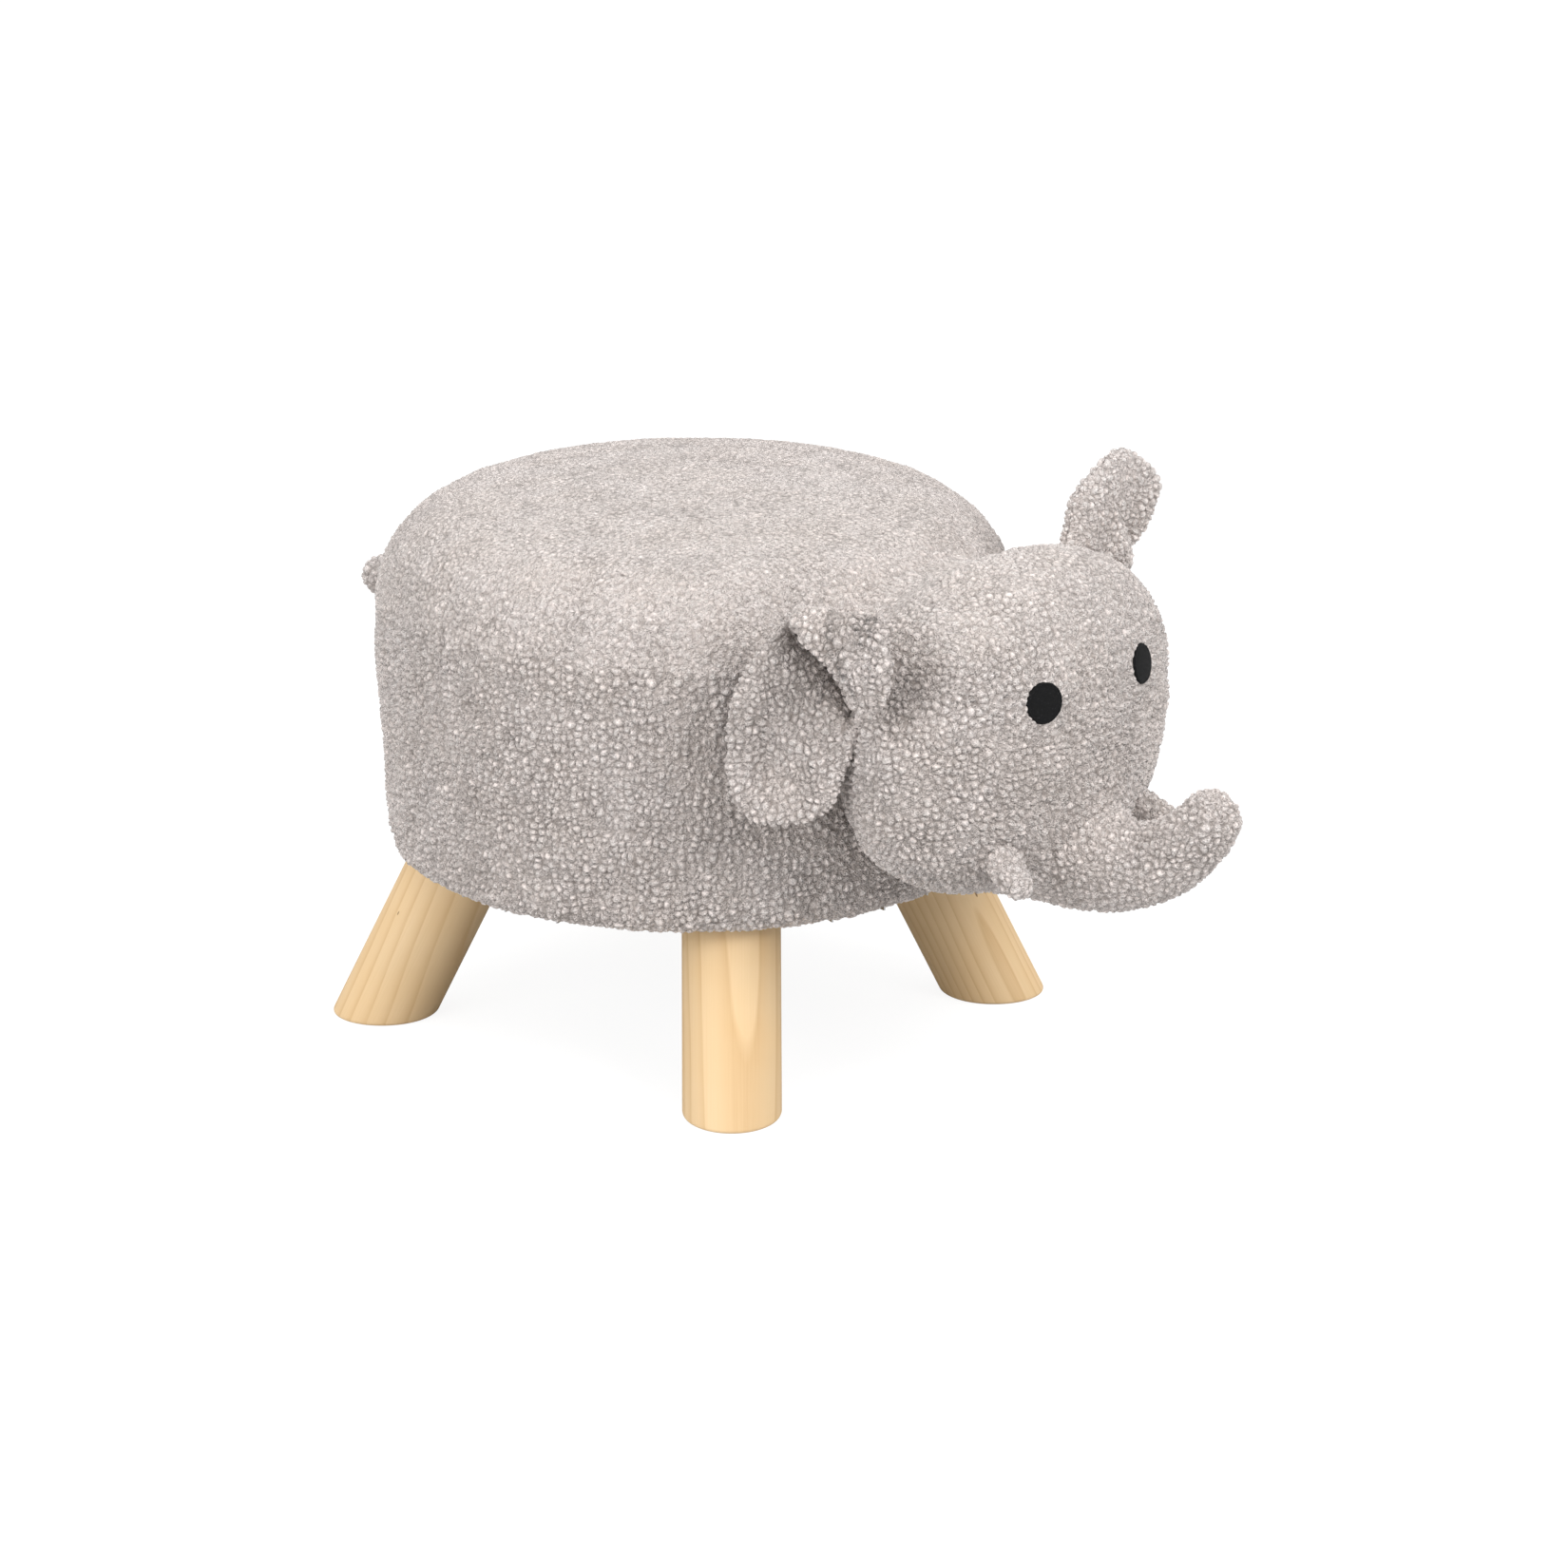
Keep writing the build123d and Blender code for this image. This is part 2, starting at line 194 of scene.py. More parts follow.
def buildPiece(name, patch, material, body="stool"):
    points = np.concatenate(patch["points"])
    triangles = [np.stack([f[:, 0], f[:, i], f[:, i + 1]], -1)
                 for f in patch["faces"] for i in range(1, f.shape[1] - 1)]
    a, b, c = (points[np.concatenate(triangles)[:, i]] for i in range(3))
    inward = np.einsum("ij,ij->i", a, np.cross(b, c)).sum() < 0
    faces = [f[:, ::-1] if inward else f for f in patch["faces"]]
    corners = np.concatenate([f.reshape(-1) for f in faces])
    sizes = np.concatenate([np.full(len(f), f.shape[1]) for f in faces])
    mesh = bpy.data.meshes.new(name)
    mesh.vertices.add(len(points))
    mesh.vertices.foreach_set("co", (points * mm).reshape(-1).astype(np.float32))
    mesh.loops.add(len(corners))
    mesh.loops.foreach_set("vertex_index", corners.astype(np.int32))
    mesh.polygons.add(len(sizes))
    mesh.polygons.foreach_set("loop_start", np.concatenate([[0], np.cumsum(sizes)[:-1]]).astype(np.int32))
    mesh.update(calc_edges=True)
    mesh.validate()
    mesh.shade_smooth()
    pile = mesh.attributes.new("pile", "FLOAT", "POINT")
    pile.data.foreach_set("value", np.concatenate(patch["pile"]).astype(np.float32))
    piece = bpy.data.objects.new(name, mesh)
    bpy.context.scene.collection.objects.link(piece)
    mesh.materials.append(material)
    if body:
        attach(piece, body)
    print(name, len(points), "points", int((sizes - 2).sum()), "triangles")
    return piece


def normals(grid, wrap=False):
    # cross product of the steps along the rows and along the columns, turned away from the middle
    across = np.roll(grid, -1, 1) - np.roll(grid, 1, 1) if wrap else np.gradient(grid, axis=1)
    normal = np.cross(np.gradient(grid, axis=0), across)
    normal /= np.linalg.norm(normal, axis=-1, keepdims=True) + 1e-9
    outward = (normal * (grid - grid.reshape(-1, 3).mean(0))).sum() > 0
    return normal if outward else -normal


def discGrid(count):
    # an even grid over a round disc, where squares become rings: share of the radius, and angle
    line = np.linspace(-1, 1, count + 1)
    a, b = np.meshgrid(line, line, indexing="ij")
    wide = np.abs(a) >= np.abs(b)
    radius = np.where(wide, a, b)
    turn = np.where(wide, b, a) / np.where(radius == 0, 1, radius) * np.pi / 4
    angle = np.where(wide, turn, np.pi / 2 - turn)
    x, y = radius * np.cos(angle), radius * np.sin(angle)
    return np.hypot(x, y), np.arctan2(y, x)


def evenPath(points, count):
    # evenly spaced points along a path of straight steps
    points = np.asarray(points, float)
    along = pathLengths(points)
    return alongPath(points, along, np.linspace(0, along[-1], count))


def alongPath(points, along, at):
    return np.stack([np.interp(at, along, points[:, i]) for i in range(points.shape[1])], -1)


def arc(center, radius, start, end, count=24):
    # points of a circle's arc in a plane, between two angles in degrees
    angle = np.radians(np.linspace(start, end, count))
    return np.stack([center[0] + radius * np.cos(angle), center[1] + radius * np.sin(angle)], -1)


# ---- curly pile ----

pileLook = {
    "curl": 3.2,            # distance between curls
    "stray": 0.34,          # how far curls stray from their cells, as a share of that distance
    "domeReach": 0.95,
    "creviceWidth": 0.52,
    "creviceDepth": 0.70,
    "clump": 12.0,          # size of the patches where the pile stands a little higher
    "clumpShade": 0.10,
    "clumpLift": 0.25,
}


def fluff(grid, normal, height, seed=1, sink=0.35, curl=pileLook["curl"]):
    # pushes points out by round curls with crevices between them; height is the curls' height
    flat = grid.reshape(-1, 3)
    wander = np.stack([noise(flat, curl * 1.4, seed + i) for i in range(3)], -1) * curl * pileLook["stray"]
    near, second = cellular(flat + wander, curl, seed)
    dome = np.sqrt(np.clip(1 - (near / pileLook["domeReach"]) ** 2, 0, 1))
    crevice = smooth((second - near) / pileLook["creviceWidth"])
    clump = noise(flat, pileLook["clump"], seed + 7)
    standing = 1 - pileLook["creviceDepth"] * (1 - crevice)
    # the pile value is also the colour's mask: painted shade where it is low in the crevices, painted light
    # where it is high on the domes
    pile = np.clip(dome * standing + pileLook["clumpShade"] * clump, 0, 1).reshape(grid.shape[:-1])
    lift = height * (pile - sink + pileLook["clumpLift"] * clump.reshape(pile.shape))
    return grid + normal * lift[..., None], pile


# ---- materials ----

def newMaterial(name):
    material = bpy.data.materials.new(name)
    material.use_nodes = True
    tree = material.node_tree
    shader = tree.nodes["Principled BSDF"]
    return material, tree, shader


def feed(tree, socket, value):
    # links another node's output to a socket, or sets the socket's own value
    if isinstance(value, bpy.types.NodeSocket):
        tree.links.new(value, socket)
    else:
        socket.default_value = value


def addNode(tree, kind, settings=None, **values):
    # inputs are given by their name, or as i and their number
    node = tree.nodes.new("ShaderNode" + kind)
    for key, value in (settings or {}).items():
        setattr(node, key, value)
    for key, value in values.items():
        numbered = key[0] == "i" and key[1:].isdigit()
        feed(tree, node.inputs[int(key[1:]) if numbered else key], value)
    return node


def colorMix(tree, share, first, second, way="MIX"):
    node = addNode(tree, "Mix", {"data_type": "RGBA", "blend_type": way}, i0=share)
    for number, value in ((6, first), (7, second)):
        feed(tree, node.inputs[number], value if isinstance(value, bpy.types.NodeSocket) else (*value, 1))
    return node.outputs[2]


def calc(tree, way, first, second=0.0, clamp=False):
    node = addNode(tree, "Math", {"operation": way, "use_clamp": clamp}, i0=first, i1=second)
    return node.outputs[0]


def times(tree, first, second, clamp=False):
    return calc(tree, "MULTIPLY", first, second, clamp)


def plus(tree, first, second, clamp=False):
    return calc(tree, "ADD", first, second, clamp)


def spread(tree, value, low, high, start=0.0, end=1.0):
    # a value's range from low to high laid over the range from start to end, held at both ends
    return addNode(tree, "MapRange", i0=value, i1=low, i2=high, i3=start, i4=end).outputs[0]


def newGroup(name, sizeName, size, outputs):
    # a node group that is given a place and one size
    group = bpy.data.node_groups.new(name, "ShaderNodeTree")
    group.interface.new_socket("Vector", in_out="INPUT", socket_type="NodeSocketVector")
    given = group.interface.new_socket(sizeName, in_out="INPUT", socket_type="NodeSocketFloat")
    given.default_value = size
    for output in outputs:
        group.interface.new_socket(output, in_out="OUTPUT", socket_type="NodeSocketFloat")
    return group, group.nodes.new("NodeGroupInput"), group.nodes.new("NodeGroupOutput")


def ownPlace(tree):
    return addNode(tree, "TexCoord").outputs["Object"]


def dress(tree, shader, color, height, strength, depth, specular, roughness):
    # the inputs that every surface here has: colour, bump, shine and roughness
    feed(tree, shader.inputs["Base Color"], color)
    bump = addNode(tree, "Bump", Strength=strength, Distance=depth, Height=height)
    feed(tree, shader.inputs["Normal"], bump.outputs[0])
    feed(tree, shader.inputs["Specular IOR Level"], specular)
    feed(tree, shader.inputs["Roughness"], roughness)


def curlGroup():
    # ring-shaped curls: noise bends the space, and the distance to strewn dots makes rings in it
    group, given, out = newGroup("curlyPile", "Curls per metre", 520, ("Height", "Shade"))
    bend = addNode(group, "TexNoise", Vector=given.outputs[0], Scale=900.0, Detail=2.0)
    bent = addNode(group, "VectorMath", {"operation": "MULTIPLY_ADD"}, i0=bend.outputs["Color"],
                   i1=(0.0016, 0.0016, 0.0016), i2=given.outputs[0])
    dots = addNode(group, "TexVoronoi", {"feature": "F1"}, Vector=bent.outputs[0],
                   Scale=given.outputs[1])
    ring = calc(group, "ABSOLUTE", calc(group, "SUBTRACT", dots.outputs["Distance"], 0.38))
    ring = calc(group, "SUBTRACT", 1.0, times(group, ring, 3.2), True)
    fine = addNode(group, "TexNoise", Vector=given.outputs[0], Scale=2600.0, Detail=2.0)
    feed(group, out.inputs[0], plus(group, times(group, ring, 0.75), times(group, fine.outputs[0], 0.35)))
    shade = plus(group, times(group, ring, 0.65), times(group, fine.outputs[0], 0.5), True)
    feed(group, out.inputs[1], shade)
    return group


curlyPile = curlGroup()
boucleLook = {
    # crevice is a painted shade colour and tip a painted light colour; body is the fabric's own colour
    "crevice": (0.225, 0.192, 0.174),
    "body": (0.850, 0.765, 0.730),
    "tip": (0.960, 0.895, 0.860),
    "patch": (0.93, 0.88, 0.82),
    "bump": 1.0,
    "depth": 0.0014,
}


def boucleMaterial(name, look):
    # painted shade in the crevices, then the body's colour, then painted light on the tips, by the mesh's
    # pile and the finer curls together
    material, tree, shader = newMaterial(name)
    spot = ownPlace(tree)
    curls = addNode(tree, "Group", {"node_tree": curlyPile}, Vector=spot)
    pile = addNode(tree, "Attribute", {"attribute_name": "pile"})
    height = plus(tree, times(tree, pile.outputs["Fac"], 0.55), times(tree, curls.outputs["Shade"], 0.45))
    color = colorMix(tree, spread(tree, height, 0.15, 0.56), look["crevice"], look["body"])
    color = colorMix(tree, spread(tree, height, 0.56, 0.90), color, look["tip"])
    patchy = addNode(tree, "TexNoise", Vector=spot, Scale=38.0, Detail=3.0)
    share = spread(tree, patchy.outputs[0], 0.35, 0.65, 0.0, 0.22)
    color = colorMix(tree, share, color, look["patch"], "MULTIPLY")
    dress(tree, shader, color, curls.outputs["Height"], look["bump"], look["depth"], 0.55, 0.52)
    shader.inputs["Sheen Weight"].default_value = 0.15
    shader.inputs["Sheen Roughness"].default_value = 0.45
    return material


boucle = boucleMaterial("boucle", boucleLook)
print("materials ready")


# ---- seat cover ----

seatLook = {
    "shoulder": 46.0,       # radius of the rounded upper edge
    "rise": 12.0,           # how much the middle stands above the edge of the dome
    "lowerEdge": 10.0,      # radius of the rounded lower edge
    "overlap": 0.5,         # how deep the two panels press together at the seam
    "seamFlat": 0.55,       # share by which the pile is shorter at the seam, and how far that reaches
    "seamWidth": 2.2,
    "turnIn": 1.2,          # how far each panel turns in at the seam
    "narrower": 0.030,      # share by which the foot of the band is narrower
    "hemEnd": 14.0,         # how far the hem runs in under the board
    "wave": 0.9,            # height of the fabric's slow waves
    "waveSize": 34.0,
    "topPile": 0.8,         # height of the pile on top and on the side, and the curls' distance on top
    "sidePile": 2.7,
    "topCurl": 2.6,
    "backing": 3.0,         # thickness of the fabric under the pile
}

domeRadius = seatRadius - seatLook["shoulder"]
domeSlope = math.atan(2 * seatLook["rise"] * domeRadius / seatRadius ** 2)
domeEnd = domeRadius + seatLook["shoulder"] * math.sin(domeSlope)
shoulderZ = (crownHeight - seatLook["rise"] * (domeEnd / seatRadius) ** 2
             - seatLook["shoulder"] * math.cos(domeSlope))
seamAngle = math.degrees(math.asin(np.clip((seamHeight - shoulderZ) / seatLook["shoulder"], 0, 1)))


def seamTurn(side):
    # the small arc by which a panel turns in at the seam; side is 1 for the top panel and -1 for the band
    turn = seatLook["turnIn"]
    outwards = np.array([math.cos(math.radians(seamAngle)), math.sin(math.radians(seamAngle))])
    along = np.array([-outwards[1], outwards[0]])
    seam = np.array([domeRadius, shoulderZ]) + outwards * seatLook["shoulder"]
    center = seam + side * along * (turn - seatLook["overlap"]) - outwards * turn
    return arc(center, turn, seamAngle, seamAngle - side * 90, 8)


def taper(z):
    # 1 at the seam, less towards the foot of the band
    return 1 - seatLook["narrower"] * np.clip((seamHeight - z) / (seamHeight - seatBottom), 0, 1) ** 2


def drumPoints(radius, angle, z):
    # a point of the drum, with a slow wave that stands for hand-pulled fabric
    around = np.stack([np.cos(angle) * 60, np.sin(angle) * 60, z], -1)
    wave = seatLook["wave"] * noise(around, seatLook["waveSize"], 21) * smooth(radius / seatRadius * 2 - 1)
    radius = radius * taper(z) + wave
    return np.stack([radius * np.cos(angle), seatY + radius * np.sin(angle), z], -1)


def seamShare(z):
    # 1 away from the seam, less at it
    return 1 - seatLook["seamFlat"] * np.exp(-((z - seamHeight) / seatLook["seamWidth"]) ** 2)


def seatTop(count=420):
    # a dome, a rounded shoulder and a rim turned in at the seam, swept round on a disc grid
    radius = np.linspace(0, domeEnd, 60)
    dome = np.stack([radius, crownHeight - seatLook["rise"] * (radius / seatRadius) ** 2], -1)
    path = np.concatenate([
        dome,
        arc((domeRadius, shoulderZ), seatLook["shoulder"], 90 - math.degrees(domeSlope),
            seamAngle + 1)[1:],
        seamTurn(1),
    ])
    along = pathLengths(path)
    share, angle = discGrid(count)
    reached = share.reshape(-1) * along[-1]
    at = alongPath(path, along, reached).reshape(*share.shape, 2)
    base = drumPoints(at[..., 0], angle, at[..., 1])
    slope = alongPath(unit(np.gradient(path, along, axis=0)), along, reached).reshape(*share.shape, 2)
    normal = np.stack([-slope[..., 1] * np.cos(angle), -slope[..., 1] * np.sin(angle), slope[..., 0]], -1)
    steep = 0.7 * smooth((at[..., 0] - domeRadius) / (seatRadius - domeRadius) * 1.1 - 0.1)
    height = seatLook["topPile"] + (seatLook["sidePile"] - seatLook["topPile"]) * steep
    height = height * seamShare(at[..., 1])
    outside, pile = fluff(base, normal, height)
    finer, finerPile = fluff(base, normal, height, curl=seatLook["topCurl"])
    outside = finer + (outside - finer) * steep[..., None]
    pile = finerPile + (pile - finerPile) * steep
    patch = shell(outside, base - normal * seatLook["backing"], pile)
    piece = buildPiece("seatTopPanel", patch, boucle)
    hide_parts("cover_top_panel")
    return piece


def sideBand(count=1200, rows=169, step=4):
    # the seam's turned-in rim, the side, a rounded lower edge and the hem, swept round
    edge = seatLook["lowerEdge"]
    hem = seatRadius - seatLook["hemEnd"]
    path = np.concatenate([
        seamTurn(-1)[::-1],
        arc((domeRadius, shoulderZ), seatLook["shoulder"], seamAngle - 1, 0, 12),
        arc((seatRadius - edge, seatBottom + edge), edge, 0, -90, 16),
        [[hem, seatBottom + 0.4]],
    ])
    path = evenPath(path, rows)
    angle = np.linspace(0, 2 * np.pi, count, endpoint=False) + np.pi / 2
    radius, angle = np.meshgrid(path[:, 0], angle, indexing="ij")
    z = np.broadcast_to(path[:, 1][:, None], radius.shape)
    base = drumPoints(radius, angle, z)
    normal = normals(base, True)
    under = smooth((z - seatBottom) / 6)
    outside, pile = fluff(base, normal, seatLook["sidePile"] * (0.45 + 0.55 * under) * seamShare(z))
    patch = newPatch()
    outer = place(patch, outside, pile)
    inner = place(patch, (base - normal * seatLook["backing"])[::step, ::step])
    cells(patch, outer, True)
    cells(patch, inner, True, True)
    stitch(patch, outer[0], inner[0])
    stitch(patch, lastRing(outer), lastRing(inner))
    piece = buildPiece("seatSideBand", patch, boucle)
    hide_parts("cover_side_band")
    return piece


seatTop()
sideBand()


# ---- head ----

headLook = {
    "narrower": 2.5,        # the shape is fuller than an ellipsoid, so its half axes are smaller
    "lower": 4.5,
    "halfDepth": 50.2,
    "raised": 0.7,
    "fullUp": 0.82,         # the superellipsoid's powers: 1 is round, less is boxier
    "fullRound": 1.02,
    "sideCorner": 5.0,      # reach of the rounded valley between the head and the drum, below and on top
    "topCorner": 32.0,
    "sunk": 1.6,            # how deep the head's edge presses into the drum's pile
    "foldPlace": 13.5,      # the neck seam's fold: distance from the edge, height and width
    "foldRise": 4.2,
    "foldWidth": 3.4,
    "creaseOffset": 8.0,    # the crease by it: distance from the fold, depth and width
    "creaseDepth": 4.8,
    "creaseWidth": 3.2,
    "earPull": 3.0,         # depth of the hollow where the hanging ear's stitches draw the head in, its middle from the ear's joint, its reach and how much shade is painted into its pile there
    "earPlace": (14.0, -20.5, 14.5),    # its middle from the ear's joint, its reach and how dark it is
    "earReach": 14.0,
    "earPaintedShade": 0.75,
    "pile": 2.6,
    "finerOnTop": 0.45,     # share by which the pile is shorter on top
    "backing": 3.0,
}
headHalf = np.array([
    (headHigh[0] - headLow[0]) / 2 - headLook["narrower"],
    headLook["halfDepth"],
    (headHigh[2] - headLow[2]) / 2 - headLook["lower"],
])
earPlace = jointPlace("ear_right_flap")[0] + np.array(headLook["earPlace"])
headCenter = np.array([0.0, headLow[1] + headHalf[1], (headHigh[2] + headLow[2]) / 2 + headLook["raised"]])


def headSize(direction):
    # how far a point given in the head's half axes stands from the middle: 1 on the superellipsoid
    x, y, z = (np.abs(direction[..., i]) for i in range(3))
    level = (x ** (2 / headLook["fullRound"]) + y ** (2 / headLook["fullRound"]) + 1e-12) ** (
        headLook["fullRound"] / headLook["fullUp"])
    return (level + z ** (2 / headLook["fullUp"])) ** (headLook["fullUp"] / 2)


def headPoints(theta, phi):
    # the head's surface: theta runs from the front pole, phi round it from the left side upwards
    theta, phi = np.broadcast_arrays(theta, phi)
    direction = np.stack([np.sin(theta) * np.cos(phi), -np.cos(theta), np.sin(theta) * np.sin(phi)], -1)
    return headCenter + direction * headHalf / headSize(direction)[..., None]


def drumDistance(points):
    # height above the side, the rounded shoulder or the dome, and the direction straight out of it
    away = points - np.array([0, seatY, 0])
    flat = np.hypot(away[..., 0], away[..., 1])
    radial = away * [1, 1, 0] / flat[..., None]
    radius = flat / taper(points[..., 2])
    beyond, above = radius - domeRadius, points[..., 2] - shoulderZ
    bend = np.hypot(np.maximum(beyond, 0), np.maximum(above, 0)) + 1e-9
    onSide, onTop = above <= 0, beyond <= 0
    dome = crownHeight - seatLook["rise"] * (radius / seatRadius) ** 2
    distance = np.where(onTop & ~onSide, points[..., 2] - dome, bend - seatLook["shoulder"])
    distance = np.where(onSide, radius - seatRadius, distance)
    out = np.where(onSide, 1, np.where(onTop, 0, np.maximum(beyond, 0) / bend))[..., None] * radial
    out[..., 2] = np.where(onSide, 0, np.where(onTop, 1, np.maximum(above, 0) / bend))
    return distance, out


def slideOnDrum(points, origin, reach, steps=5):
    # moves points over the drum's surface, away from an origin, by a distance
    for step in range(steps):
        distance, out = drumDistance(points)
        points = points - out * distance[..., None]
        ahead = points - origin
        ahead = ahead - out * (ahead * out).sum(-1, keepdims=True)
        points = points + unit(ahead) * (reach / steps)[..., None]
    distance, out = drumDistance(points)
    return points - out * distance[..., None], out


def nearEar(points):
    # 1 in the hollow by the hanging ear, less away from it
    return np.exp(-(np.linalg.norm(points - earPlace, axis=-1) / headLook["earReach"]) ** 2)


def headPile(points, normal, height=1.0):
    # the head's pile, shorter on top, with painted shade in the hollow by the ear
    height = headLook["pile"] * (1 - headLook["finerOnTop"] * smooth((normal[..., 2] - 0.2) / 0.7)) * height
    outside, pile = fluff(points, normal, height)
    return outside, pile * (1 - headLook["earPaintedShade"] * nearEar(points))


def head(count=260, rows=73, step=4):
    # front: the superellipsoid on a disc grid. Behind the rim it runs back to the drum in a rounded valley
    share, phi = discGrid(count)
    front = headPoints(share * np.pi / 2, phi)
    frontNormal = headNormal(front)
    pulled = headLook["earPull"] * nearEar(front)
    front = front + frontNormal * (corner(trunkDistance(front), trunkLook["flare"]) - pulled)[..., None]
    index = np.arange(front.shape[0] * front.shape[1]).reshape(front.shape[:2])
    rim = perimeter(index)
    ringPhi = phi.reshape(-1)[rim]
    theta = np.linspace(np.pi / 2, np.pi * 0.98, 240)
    back = headPoints(theta[:, None], ringPhi[None, :])
    gap, out = drumDistance(back)
    upper = smooth((np.sin(ringPhi) - 0.08) / 0.42)
    width = headLook["sideCorner"] + (headLook["topCorner"] - headLook["sideCorner"]) * upper
    startRow = np.argmax(gap < width, axis=0)
    endRow = np.argmax(gap < 0, axis=0)
    ring = np.arange(len(ringPhi))
    start, met = back[startRow, ring], back[endRow, ring]
    met = met - out[endRow, ring] * gap[endRow, ring][:, None]
    end, endOut = slideOnDrum(met, headCenter, width)
    end = end - endOut * headLook["sunk"]
    level = np.linspace(0, 1, rows)[:, None]
    position = np.clip(level / 0.6, 0, 1) * startRow
    low = np.floor(position).astype(int)
    part = (position - low)[..., None]
    behind = back[low, ring] * (1 - part) + back[low + 1, ring] * part
    part = (np.clip(level - 0.6, 0, None) / 0.4)[..., None]
    bend = start * (1 - part) ** 2 + met * 2 * part * (1 - part) + end * part ** 2
    behind = np.where(level[..., None] < 0.6, behind, bend)
    behind[0] = front.reshape(-1, 3)[rim]
    length = np.cumsum(np.linalg.norm(np.diff(behind, axis=0, prepend=behind[:1]), axis=-1), axis=0)
    left = length[-1] - length
    lower = smooth((0.35 - np.sin(ringPhi)) / 0.35)
    fromFold = left - headLook["foldPlace"]
    fold = headLook["foldRise"] * np.exp(-(fromFold / headLook["foldWidth"]) ** 2)
    crease = headLook["creaseDepth"] * np.exp(
        -((fromFold - headLook["creaseOffset"]) / headLook["creaseWidth"]) ** 2)
    pulled = headLook["earPull"] * nearEar(behind)
    behind = behind + normals(behind, True) * (lower * (fold - crease) - pulled)[..., None]
    behindNormal = normals(behind, True)
    pressed = np.ones(front.shape[:-1])
    for side in (1, -1):
        spot = headFront(side * eyeLook["spread"], eyeLook["height"])[0]
        pressed *= smooth((np.linalg.norm(front - spot, axis=-1) - eyeLook["radius"] + 1.5) / 4.5)
    outside, pile = headPile(front, frontNormal, 0.12 + 0.88 * pressed)
    outsideBehind, pileBehind = headPile(behind, behindNormal)
    patch = newPatch()
    outer = place(patch, outside, pile)
    outerBehind = place(patch, outsideBehind[1:], pileBehind[1:])
    cells(patch, outer)
    tube = np.concatenate([perimeter(outer)[None], outerBehind])
    cells(patch, tube, True, True)
    inner = place(patch, (front - frontNormal * headLook["backing"])[::step, ::step])
    cells(patch, inner, flip=True)
    innerBehind = place(patch, (behind - behindNormal * headLook["backing"])[::step][1:, ::step])
    innerTube = np.concatenate([perimeter(inner)[None], innerBehind])
    cells(patch, innerTube, True)
    stitch(patch, tube[-1], innerTube[-1])
    piece = buildPiece("headCover", patch, boucle)
    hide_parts("head_cover")
    return piece


# ---- places on the head ----

def headDistance(points):
    # how far points stand out from the head's surface, measured along the line to its middle
    away = points - headCenter
    return np.linalg.norm(away, axis=-1) * (1 - 1 / headSize(away / headHalf))


def headNormal(points, step=0.5):
    # the steepest way out of the head's surface
    return unit(np.stack([headDistance(points + step * axis) - headDistance(points - step * axis)
                          for axis in np.eye(3)], -1))


def headFront(x, z):
    # the point on the face at a given x and z, and the direction straight out of it
    share = (1 - (abs(z - headCenter[2]) / headHalf[2]) ** (2 / headLook["fullUp"])) ** (
        headLook["fullUp"] / headLook["fullRound"])
    depth = (share - (abs(x) / headHalf[0]) ** (2 / headLook["fullRound"])) ** (headLook["fullRound"] / 2)
    point = np.array([x, headCenter[1] - headHalf[1] * depth, z])
    return point, headNormal(point)


eyeLook = {
    "spread": 36.9,
    "height": 197.6,
    "radius": 9.0,
    "thick": 1.1,
    "borderRise": 0.35,
    "wider": {1: 1.05, -1: 1.14},       # the left eye and the right eye, each a little wider than high
    "thread": (0.0045, 0.0045, 0.005),
    "threadLight": (0.035, 0.035, 0.038),
    "threadsPerRadius": 26.0,
}


# ---- stuffed tubes: trunk, tusks and tail ----

def tubeFrames(line, side):
    # directions across a line of points: one kept square to the given side, one square to both
    ahead = unit(np.gradient(line, axis=0))
    up = unit(np.cross(side, ahead))
    return np.cross(ahead, up), up


def stuffedTube(name, line, count, rows, look, node, wall=0.0, swell=None, seed=31, material=None,
                step=4):
    # a circle carried along a line, its radius given at even steps, closed by a half ball at the far end
    radii = look["radii"]
    along = pathLengths(line)
    length = along[-1]
    steps = np.linspace(0, length, len(radii))
    ahead = unit(line[-1] - line[-2])
    longer = np.concatenate([line, [line[-1] + ahead * 2 * radii[-1]]])
    far = np.append(along, length + 2 * radii[-1])
    ball = arc((length, 0), radii[-1], 90, 0, 40)
    profile = evenPath(np.concatenate([np.stack([steps, radii], -1)[:-1], ball]), rows)
    center = alongPath(longer, far, profile[:, 0])
    at = np.linspace(0, far[-1], 200)
    across, up = tubeFrames(alongPath(longer, far, at), np.array([1.0, 0, 0]))
    across, up = alongPath(across, at, profile[:, 0]), alongPath(up, at, profile[:, 0])
    angle = np.linspace(0, 2 * np.pi, count, endpoint=False)
    ring = across[:, None] * np.cos(angle)[None, :, None] + up[:, None] * np.sin(angle)[None, :, None]
    reach = np.maximum(profile[:, 1], 0.4)[:, None, None]
    base = center[:, None] + ring * reach
    if swell:
        base = base + ring * swell(base)[..., None]
    normal = normals(base, True)
    normal *= np.sign((normal * (base - center[:, None])).sum(-1, keepdims=True) + 1e-9)
    outside, pile = fluff(base, normal, look["pile"], seed)
    patch = newPatch()
    outer = place(patch, outside, pile)
    cells(patch, outer, True)
    fan(patch, lastRing(outer), outside[-1].mean(0) + ahead * 0.1)
    if wall:
        inside = (base - normal * wall)[::step]
        inner = place(patch, inside[:, ::step])
        cells(patch, inner, True, True)
        fan(patch, lastRing(inner)[::-1], inside[-1].mean(0))
        stitch(patch, outer[0], inner[0])
    else:
        fan(patch, outer[0], center[0])
    piece = buildPiece(name, patch, material or boucle, None)
    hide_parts(node)
    return piece


